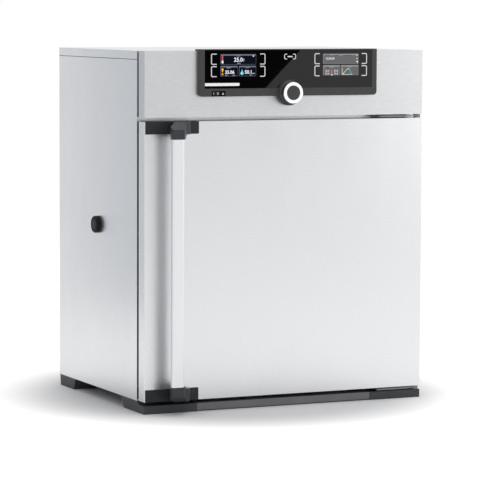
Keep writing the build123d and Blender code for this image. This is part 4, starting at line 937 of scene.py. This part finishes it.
@dataclass
class ControlPanel:
    """Print and pictures on the glass of the control panel."""

    shelf: FinishShelf
    body: str = "cabinet"
    glass_face: float = FRONT_PLANE - 11.5
    ink: Finish = PrintedInk("white_panel_ink", "#E4E4E5", "#D4D4D6")
    bar_ink: Finish = PrintedInk("white_bar_ink", "#FFFFFF", "#F4F4F5")
    line: float = 2.3

    def build(self) -> None:
        """Makes the brackets, keys, bar and both screens."""
        self.make_brackets()
        self.make_key_and_bar()
        self.make_left_screen()
        self.make_right_screen()

    def make_brackets(self) -> None:
        """Prints the square brackets that mark the touch keys beside each screen."""
        relief = ThinRelief("touch_key_brackets", self.glass_face, self.shelf)
        columns = [(-205.2, -191.6), (-64.6, -77.4), (69.0, 82.0), (209.6, 196.2)]
        for spine, tip in columns:
            for low, high in ((803.0, 826.6), (832.2, 856.4)):
                curl = 2.4 if tip > spine else -2.4
                path = [
                    (tip, low), (spine + curl, low), (spine + curl * 0.3, low + 0.7), (spine, low + 2.4),
                    (spine, high - 2.4), (spine + curl * 0.3, high - 0.7), (spine + curl, high), (tip, high),
                ]
                relief.stroke(path, self.line, self.ink)
        relief.finish(self.body, "panel_glass")

    def make_key_and_bar(self) -> None:
        """Prints the home key between the screens and the white bar at the lower left."""
        relief = ThinRelief("panel_key_and_bar", self.glass_face, self.shelf)
        middle = 849.8
        for side in (-1, 1):
            spine = 2.2 + side * 14.8
            inward = -side
            path = [
                (spine + inward * 6.8, middle - 5.8), (spine + inward * 3.0, middle - 5.8),
                (spine + inward * 0.8, middle - 4.9), (spine, middle - 3.0),
                (spine, middle + 3.0), (spine + inward * 0.8, middle + 4.9),
                (spine + inward * 3.0, middle + 5.8), (spine + inward * 6.8, middle + 5.8),
            ]
            relief.stroke(path, self.line * 0.85, self.ink)
        relief.tile((-4.8, 9.2), (middle - 1.5, middle + 1.5), self.ink, 1.4)
        left, right, low, high = -222.0, -131.0, 780.6, 787.6
        radius = (high - low) / 2
        outline = [(left, low)]
        for step in range(9):
            angle = -math.pi / 2 + math.pi * step / 8
            outline.append((right - radius + radius * math.cos(angle), (low + high) / 2 + radius * math.sin(angle)))
        outline.append((left, high))
        relief.prism(outline, self.bar_ink)
        relief.finish(self.body, "panel_glass")

    def frame_tile(
        self,
        relief: ThinRelief,
        across: Span,
        up: Span,
        field_tone: Finish,
        edge: Finish,
    ) -> None:
        """Draws one framed field of a screen with its title strip.

        Args:
            relief: the screen's relief.
            across: low and high x.
            up: low and high z.
            field_tone: colour of the field.
            edge: colour of its frame and title strip.
        """
        relief.tile(across, up, edge, 1.6)
        rim = 1.1
        strip = 3.4
        relief.tile((across[0] + rim, across[1] - 0.5), (up[0] + 0.6, up[1] - strip), field_tone, 0.8, 1)
        middle = (across[0] + across[1]) / 2
        tab = [(middle - 7, up[1] - strip), (middle - 4.4, up[1] - strip - 2.0)]
        tab += [(middle + 4.4, up[1] - strip - 2.0), (middle + 7, up[1] - strip)]
        relief.prism(tab, edge, 2)

    def make_left_screen(self) -> None:
        """Draws the lit screen: temperature above, two more readings below."""
        field_tone = LitPixels("screen_navy", "#0E111C")
        edge = LitPixels("screen_frame_grey", "#6D7183")
        white = LitPixels("screen_white", "#F2F3F6")
        pale = LitPixels("screen_pale_grey", "#9CA2B4")
        red = LitPixels("screen_red", "#E2564E")
        yellow = LitPixels("screen_yellow", "#F4C63C")
        orange = LitPixels("screen_orange", "#F08A2E")
        cyan = LitPixels("screen_cyan", "#6FD3DC")
        relief = ThinRelief("left_screen_picture", self.glass_face, self.shelf)
        top = (831.4, 856.0)
        bottom = (803.6, 828.2)
        self.frame_tile(relief, (-181.4, -88.2), top, field_tone, edge)
        self.frame_tile(relief, (-181.4, -136.4), bottom, field_tone, edge)
        self.frame_tile(relief, (-133.0, -88.2), bottom, field_tone, edge)
        relief.tile((-178.1, -174.9), (841.0, 852.6), red, 1.4, 2)
        relief.tile((-178.1, -174.9), (837.0, 842.0), white, 0.4, 2)
        relief.disc((-176.5, 836.8), 2.7, white, 3)
        relief.digits("25.0", -146.5, 838.4, 9.4, white, 2)
        relief.tile((-123.0, -119.5), (839.0, 845.5), pale, 0.5, 2)
        relief.digits("24.9", -138.0, 832.4, 3.6, pale, 2)
        relief.disc((-95.4, 851.6), 1.7, white, 2)
        relief.disc((-176.4, 819.6), 2.9, yellow, 2)
        relief.prism([(-178.2, 817.0), (-174.6, 817.0), (-176.4, 811.4)], yellow, 3)
        relief.disc((-176.4, 808.4), 2.7, orange, 2)
        relief.digits("35.06", -170.0, 809.6, 7.8, white, 2)
        relief.digits("25.50", -166.4, 822.8, 2.8, pale, 2)
        relief.digits("14.20", -152.0, 804.6, 2.8, pale, 2)
        relief.digits("28.4", -169.5, 804.6, 2.8, pale, 2)
        drop = []
        for step in range(15):
            angle = math.radians(-235 + 290 * step / 14)
            drop.append((-125.2 + 4.1 * math.cos(angle), 810.6 + 4.1 * math.sin(angle)))
        drop.append((-125.2, 820.6))
        relief.prism(drop, cyan, 2)
        relief.disc((-126.6, 810.0), 1.6, white, 3)
        relief.digits("50.1", -118.4, 809.6, 8.2, white, 2)
        relief.tile((-99.4, -91.0), (808.8, 811.2), pale, 0.6, 2)
        relief.digits("50.0", -105.0, 804.6, 2.8, pale, 2)
        relief.finish(self.body, "display")

    def make_right_screen(self) -> None:
        """Draws the dimmed screen: a list above, small readings and a curve below."""
        field_tone = LitPixels("dim_field", "#5B595C")
        edge = LitPixels("dim_frame", "#8B8A91")
        white = LitPixels("dim_white", "#DCDCDE")
        dark = LitPixels("dim_black", "#1B1B1D")
        red = LitPixels("dim_red", "#C66A62")
        orange = LitPixels("dim_orange", "#A8743A")
        yellow = LitPixels("dim_yellow", "#D9D27E")
        cyan = LitPixels("dim_cyan", "#4FA9C4")
        green = LitPixels("dim_green", "#8FC98B")
        relief = ThinRelief("right_screen_picture", self.glass_face, self.shelf)
        top = (831.8, 856.0)
        bottom = (804.2, 828.4)
        self.frame_tile(relief, (91.2, 187.4), top, field_tone, edge)
        self.frame_tile(relief, (91.2, 136.8), bottom, field_tone, edge)
        self.frame_tile(relief, (139.4, 187.4), bottom, field_tone, edge)
        relief.digits("12:30:00", 97.4, 842.2, 5.0, white, 2)
        relief.digits("01.01", 98.0, 852.0, 3.0, dark, 2)
        relief.tile((121.0, 168.0), (851.6, 852.8), dark, 0.3, 2)
        relief.disc((183.2, 852.4), 1.5, white, 2)
        relief.disc((183.2, 844.4), 1.5, white, 2)
        relief.prism([(180.6, 838.6), (186.0, 838.6), (186.0, 832.2)], white, 2)
        relief.disc((95.0, 822.6), 1.9, orange, 2)
        for left, base in ((97.5, 813.0), (121.0, 813.0), (97.5, 806.2), (121.0, 806.2)):
            relief.digits("21.4", left, base, 4.2, white, 2)
        relief.digits("21.4", 97.5, 820.4, 3.2, dark, 2)
        relief.tile((113.6, 116.0), (806.5, 818.0), red, 0.9, 2)
        relief.disc((114.8, 805.2), 1.9, white, 3)
        curve = []
        for step in range(17):
            share = step / 16
            x = 144.0 + 24.0 * share
            rise = math.sin(min(1.0, share / 0.72) * math.pi / 2) ** 1.3
            fall = 0.0 if share < 0.72 else ((share - 0.72) / 0.28) ** 1.7
            curve.append((x, 806.6 + 13.0 * (rise - fall)))
        cuts = (0, 4, 8, 12, 16)
        for tone, start, end in zip((yellow, green, yellow, cyan), cuts[:-1], cuts[1:]):
            relief.stroke(curve[start:end + 1], 1.8, tone, 2)
        relief.tile((142.6, 143.6), (805.4, 822.0), white, 0.2, 2)
        relief.tile((142.6, 171.0), (805.4, 806.4), white, 0.2, 2)
        relief.finish(self.body, "display")


@dataclass
class SwitchPrint:
    """Marks on the mains rocker and the service port's flap."""

    shelf: FinishShelf
    ink: Finish = PrintedInk("white_switch_ink", "#D8D8D9", "#C8C8CA")
    pivot: Point = (-192.25, FRONT_PLANE - 5.0)
    nose: float = 7.2
    middle: float = 762.7

    def build(self) -> None:
        """Puts the on and off marks on the rocker's two faces and a socket mark on the flap."""
        face = self.pivot[1] - self.nose
        off = ThinRelief("rocker_off_mark", face + 1.36, self.shelf)
        ring = []
        for step in range(20):
            angle = FULL_TURN * step / 20
            ring.append((-188.0 + 2.3 * math.cos(angle), self.middle + 2.7 * math.sin(angle)))
        off.stroke(ring, 0.95, self.ink, 0, True)
        off.finish("rocker", "dark_plastic")

        on = ThinRelief("rocker_on_mark", FRONT_PLANE - 12.95, self.shelf, 0.5)
        on.tile((-200.6, -199.4), (self.middle - 2.7, self.middle + 2.7), self.ink, 0.3)
        on.finish("rocker", "dark_plastic")

        flap = ThinRelief("flap_socket_mark", FRONT_PLANE - 12.0, self.shelf)
        flap.tile((-177.6, -173.0), (self.middle - 2.9, self.middle - 0.9), self.ink, 0.3)
        flap.tile((-176.8, -173.8), (self.middle - 0.9, self.middle + 1.6), self.ink, 0.2)
        flap.finish("flap", "dark_plastic")


@dataclass
class ScrewSet:
    """Cross-headed screws that hold the rear cover, the sockets and the rear panel."""

    shelf: FinishShelf
    head_radius: float = 3.6
    head_height: float = 1.8
    recess: float = 1.0

    def head(self, mesh: bmesh.types.BMesh, place: Vector) -> None:
        """Adds one domed head with a round sunk middle, facing the back.

        Args:
            mesh: mesh that gets it.
            place: middle of its seat, in millimetres.
        """
        steps = 20
        rings = []
        for share in (0.0, 0.45, 0.78, 1.0):
            radius = self.head_radius * math.cos(share * math.pi / 2 * 0.86)
            depth = self.head_height * math.sin(share * math.pi / 2)
            ring = []
            for step in range(steps):
                angle = FULL_TURN * step / steps
                offset = Vector((radius * math.cos(angle), depth, radius * math.sin(angle)))
                ring.append(mesh.verts.new((place + offset) / METRE))
            rings.append(ring)
        for low, high in zip(rings[:-1], rings[1:]):
            for i in range(steps):
                j = (i + 1) % steps
                mesh.faces.new((low[i], low[j], high[j], high[i]))
        crown = mesh.verts.new((place + Vector((0, self.head_height - self.recess, 0))) / METRE)
        for i in range(steps):
            mesh.faces.new((rings[-1][i], rings[-1][(i + 1) % steps], crown))
        mesh.faces.new(list(reversed(rings[0])))

    def build(self) -> None:
        """Sets the heads either side of the rear cover and in two rows across the rear panel."""
        cover_low, cover_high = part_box("rear_unit_cover")
        panel_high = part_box("rear_panel")[1]
        seat = panel_high.y * METRE
        mesh = bmesh.new()
        edge = 9.0
        left, right = cover_low.x * METRE - edge, cover_high.x * METRE + edge
        low, high = cover_low.z * METRE, cover_high.z * METRE
        for x in (left, right):
            for share in (0.04, 0.35, 0.65, 0.96):
                self.head(mesh, Vector((x, seat, low + (high - low) * share)))
        half = panel_high.x * METRE - 12
        for x in (-half, -half / 3, half / 3, half):
            for z in (44.0, 832.0):
                self.head(mesh, Vector((x, seat, z)))
        bmesh.ops.recalc_face_normals(mesh, faces=mesh.faces)
        data = bpy.data.meshes.new("rear_screws")
        mesh.to_mesh(data)
        mesh.free()
        data.materials.append(self.shelf.material(TURNED_STEEL))
        piece = bpy.data.objects.new("rear_screws", data)
        bpy.context.scene.collection.objects.link(piece)
        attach(piece, "cabinet")
        LOG.info("piece rear_screws rides on cabinet")


@dataclass
class RoofSeam:
    """Dark joint between the roof cover and the left wall."""

    shelf: FinishShelf
    height: float = 843.5
    width: float = 1.3
    proud: float = 0.15
    sunk: float = 0.4
    half: float = 372.5
    front: float = -250.0
    back: float = 264.0

    def strip(self, mesh: bmesh.types.BMesh, low: Vector, high: Vector) -> None:
        """Adds one closed strip between two corners, in millimetres."""
        corners = [(x, y, z) for x in (low.x, high.x) for y in (low.y, high.y) for z in (low.z, high.z)]
        points = [mesh.verts.new(Vector(corner) / METRE) for corner in corners]
        for ring in ((0, 1, 3, 2), (4, 6, 7, 5), (0, 4, 5, 1), (2, 3, 7, 6), (0, 2, 6, 4), (1, 5, 7, 3)):
            mesh.faces.new([points[i] for i in ring])

    def build(self) -> None:
        """Lays the strip along the wall."""
        mesh = bmesh.new()
        low = Vector((-self.half - self.proud, self.front, self.height - self.width / 2))
        high = Vector((-self.half + self.sunk, self.back, self.height + self.width / 2))
        self.strip(mesh, low, high)
        bmesh.ops.recalc_face_normals(mesh, faces=mesh.faces)
        data = bpy.data.meshes.new("roof_seam")
        mesh.to_mesh(data)
        mesh.free()
        data.materials.append(self.shelf.material(SEAL_RUBBER))
        piece = bpy.data.objects.new("roof_seam", data)
        bpy.context.scene.collection.objects.link(piece)
        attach(piece, "cabinet")
        LOG.info("piece roof_seam rides on cabinet")


@dataclass
class Studio:
    """Camera, lamps, floor and the white surroundings. Lengths in metres."""

    eye: tuple[float, float, float] = (-2.80005, -6.07659, 0.97093)
    azimuth: float = -24.846
    pitch: float = 5.034
    roll: float = 0.222
    focal_pixels: float = 2658.34
    image_pixels: float = 480.0
    sensor: float = 36.0
    floor_size: float = 90.0
    floor_tone: str = "#F3F3F3"
    ambient: float = 0.70
    floor_lift: float = 0.44
    # shade_tone and the shadow_ and fade_ values below draw a painted shadow on the floor: a darker tone in a soft
    # oval round the cabinet's foot.
    shade_tone: str = "#CECECF"
    shadow_turn: float = 24.846
    shadow_middle: tuple[float, float] = (0.0, -0.05)
    shadow_spread: tuple[float, float] = (0.58, 0.62)
    fade_start: float = 0.60
    fade_end: float = 1.18

    def build(self) -> None:
        """Sets everything up."""
        bpy.context.scene.view_settings.view_transform = "Standard"
        self.make_camera()
        self.make_world()
        self.make_floor()
        self.make_lamps()
        self.make_flags()

    def make_camera(self) -> None:
        """Stands the camera where the photograph was taken from."""
        azimuth, pitch, roll = (math.radians(v) for v in (self.azimuth, self.pitch, self.roll))
        ahead = Vector((-math.sin(azimuth) * math.cos(pitch), math.cos(azimuth) * math.cos(pitch), -math.sin(pitch)))
        level = Vector((math.cos(azimuth), math.sin(azimuth), 0))
        upward = level.cross(ahead)
        right = math.cos(roll) * level + math.sin(roll) * upward
        top = -math.sin(roll) * level + math.cos(roll) * upward
        data = bpy.data.cameras.new("camera")
        data.sensor_width = self.sensor
        data.lens = self.focal_pixels / self.image_pixels * self.sensor
        data.clip_start = 0.05
        data.clip_end = 200.0
        camera = bpy.data.objects.new("camera", data)
        turn = Matrix((right, top, -ahead)).transposed().to_4x4()
        camera.matrix_world = Matrix.Translation(self.eye) @ turn
        bpy.context.scene.collection.objects.link(camera)
        bpy.context.scene.camera = camera

    @staticmethod
    def seen_directly(tree: bpy.types.NodeTree) -> bpy.types.NodeSocket:
        """Gives 1 for rays from the camera, from gloss and through glass, and 0 for lighting rays."""
        path = add_node(tree, "ShaderNodeLightPath")
        first = add_node(
            tree,
            "ShaderNodeMath",
            {0: path.outputs["Is Camera Ray"], 1: path.outputs["Is Glossy Ray"]},
            operation="MAXIMUM",
        )
        both = add_node(
            tree,
            "ShaderNodeMath",
            {0: first.outputs[0], 1: path.outputs["Is Transmission Ray"]},
            operation="MAXIMUM",
        )
        return both.outputs[0]

    def make_world(self) -> None:
        """Surrounds the studio with white that lights it softly."""
        world = bpy.data.worlds.new("studio")
        world.use_nodes = True
        tree = world.node_tree
        tree.nodes.clear()
        seen = self.seen_directly(tree)
        strength = Finish.span(tree, seen, self.ambient, 1.0)
        surround = add_node(
            tree,
            "ShaderNodeBackground",
            {"Color": (1.0, 1.0, 1.0, 1.0), "Strength": strength},
        )
        add_node(tree, "ShaderNodeOutputWorld", {"Surface": surround.outputs[0]})
        bpy.context.scene.world = world

    def outside_painted_shadow(self, tree: bpy.types.NodeTree) -> bpy.types.NodeSocket:
        """Gives 0 in the soft oval around the cabinet's foot, where a shadow is painted on the floor, rising to 1
        further off.

        Args:
            tree: the floor's node tree.

        Returns:
            The socket that carries the share.
        """
        place = add_node(tree, "ShaderNodeTexCoord").outputs["Object"]
        turned = add_node(
            tree,
            "ShaderNodeVectorRotate",
            {"Vector": place, "Angle": math.radians(self.shadow_turn)},
            rotation_type="Z_AXIS",
        )
        centred = add_node(
            tree,
            "ShaderNodeVectorMath",
            {0: turned.outputs["Vector"], 1: (*self.shadow_middle, 0.0)},
            operation="SUBTRACT",
        )
        rounded = add_node(
            tree,
            "ShaderNodeVectorMath",
            {0: centred.outputs[0], 1: (*self.shadow_spread, 1.0)},
            operation="DIVIDE",
        )
        distance = add_node(tree, "ShaderNodeVectorMath", {0: rounded.outputs[0]}, operation="LENGTH")
        fade = add_node(
            tree,
            "ShaderNodeMapRange",
            {"Value": distance.outputs["Value"], "From Min": self.fade_start, "From Max": self.fade_end},
            interpolation_type="SMOOTHSTEP",
        )
        return fade.outputs["Result"]

    def make_floor(self) -> None:
        """Lays a pale floor that runs into the white and keeps the cabinet's real shadow, with a shadow also painted
        in a soft oval round its foot.
        """
        half = self.floor_size / 2
        data = bpy.data.meshes.new("floor")
        data.from_pydata(
            [(-half, -half, 0), (half, -half, 0), (half, half, 0), (-half, half, 0)],
            [],
            [(0, 1, 2, 3)],
        )
        material = bpy.data.materials.new("pale_studio_floor")
        material.use_nodes = True
        tree = material.node_tree
        tree.nodes.clear()
        fine = add_node(
            tree,
            "ShaderNodeTexNoise",
            {"Vector": Finish.place(tree), "Scale": per_metre(20.0), "Detail": 2.0},
        )
        share = self.outside_painted_shadow(tree)
        open_floor = Finish.tint(tree, fine.outputs["Fac"], self.floor_tone, "#F6F6F6")
        # Painted shadow: inside the oval the floor's colour turns to the darker shade_tone.
        tone = add_node(
            tree,
            "ShaderNodeMix",
            {"Factor": share, "A": linear(self.shade_tone), "B": open_floor},
            data_type="RGBA",
        )
        paper = add_node(tree, "ShaderNodeBsdfDiffuse", {"Color": tone.outputs["Result"]})
        # Painted shadow: the glow that whitens the floor for camera and gloss rays fades out inside the same oval.
        lift = add_node(
            tree,
            "ShaderNodeMath",
            {0: self.seen_directly(tree), 1: Finish.span(tree, share, 0.0, self.floor_lift)},
            operation="MULTIPLY",
        )
        glow = add_node(tree, "ShaderNodeEmission", {"Strength": lift.outputs[0]})
        both = add_node(tree, "ShaderNodeAddShader", {0: paper.outputs[0], 1: glow.outputs[0]})
        add_node(tree, "ShaderNodeOutputMaterial", {"Surface": both.outputs[0]})
        data.materials.append(material)
        floor = bpy.data.objects.new("floor", data)
        bpy.context.scene.collection.objects.link(floor)

    def lamp(self, name: str, place: Vector, target: Vector, size: float, power: float) -> bpy.types.Object:
        """Hangs one square soft lamp.

        Args:
            name: name of the lamp.
            place: where it hangs.
            target: what it faces.
            size: side of the square.
            power: watts.

        Returns:
            The lamp.
        """
        data = bpy.data.lights.new(name, "AREA")
        data.shape = "SQUARE"
        data.size = size
        data.energy = power
        lamp = bpy.data.objects.new(name, data)
        lamp.location = place
        lamp.rotation_mode = "QUATERNION"
        lamp.rotation_quaternion = (target - place).to_track_quat("-Z", "Y")
        bpy.context.scene.collection.objects.link(lamp)
        return lamp

    def make_lamps(self) -> None:
        """Hangs one lamp overhead and one at the front right."""
        middle = Vector((0, 0, 0.43))
        self.lamp("overhead", Vector((0.3, -0.6, 3.0)), middle, 2.4, 30)
        self.lamp("front_right", Vector((1.9, -1.7, 0.9)), Vector((0.35, -0.3, 0.45)), 1.0, 6.5)

    def make_flags(self) -> None:
        """Stands the black flag that the panel's glass reflects and the grey one beside the left wall."""
        front = -3.5
        black = [(1.10, front, 0.60), (1.385, front, 0.60), (1.66, front, 0.87), (1.10, front, 0.87)]
        self.flag("glass_flag", black, "black_velvet", "#020202", "#040404")
        left = -0.95
        grey = [(left, 0.05, 0.10), (left, 1.25, 0.10), (left, 1.25, 1.60), (left, 0.05, 1.60)]
        self.flag("side_flag", grey, "grey_cloth", "#C8CCD3", "#D0D4DA")

    def flag(
        self,
        name: str,
        corners: list[tuple[float, float, float]],
        cloth: str,
        dark: str,
        light: str,
    ) -> None:
        """Stands one cloth flag that only shows in gloss.

        Args:
            name: name of the flag.
            corners: its corners in metres.
            cloth: name of its material.
            dark: darker sRGB colour of the cloth.
            light: lighter sRGB colour of the cloth.
        """
        data = bpy.data.meshes.new(name)
        data.from_pydata(corners, [], [(0, 1, 2, 3)])
        material = bpy.data.materials.new(cloth)
        material.use_nodes = True
        tree = material.node_tree
        tree.nodes.clear()
        weave = add_node(tree, "ShaderNodeTexNoise", {"Vector": Finish.place(tree), "Scale": per_metre(30.0)})
        glow = add_node(tree, "ShaderNodeEmission", {"Color": Finish.tint(tree, weave.outputs["Fac"], dark, light)})
        add_node(tree, "ShaderNodeOutputMaterial", {"Surface": glow.outputs[0]})
        data.materials.append(material)
        flag = bpy.data.objects.new(name, data)
        flag.visible_camera = False
        flag.visible_diffuse = False
        flag.visible_shadow = False
        bpy.context.scene.collection.objects.link(flag)


def main() -> None:
    """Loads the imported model, dresses it, adds the print and screws, and lights it."""
    logging.basicConfig(level=logging.INFO, format="%(message)s")
    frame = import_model()
    shelf = FinishShelf()
    Cabinet(frame["nodes"], shelf).dress()
    ControlPanel(shelf).build()
    SwitchPrint(shelf).build()
    ScrewSet(shelf).build()
    RoofSeam(shelf).build()
    Studio().build()


if __name__ == "__main__":
    main()
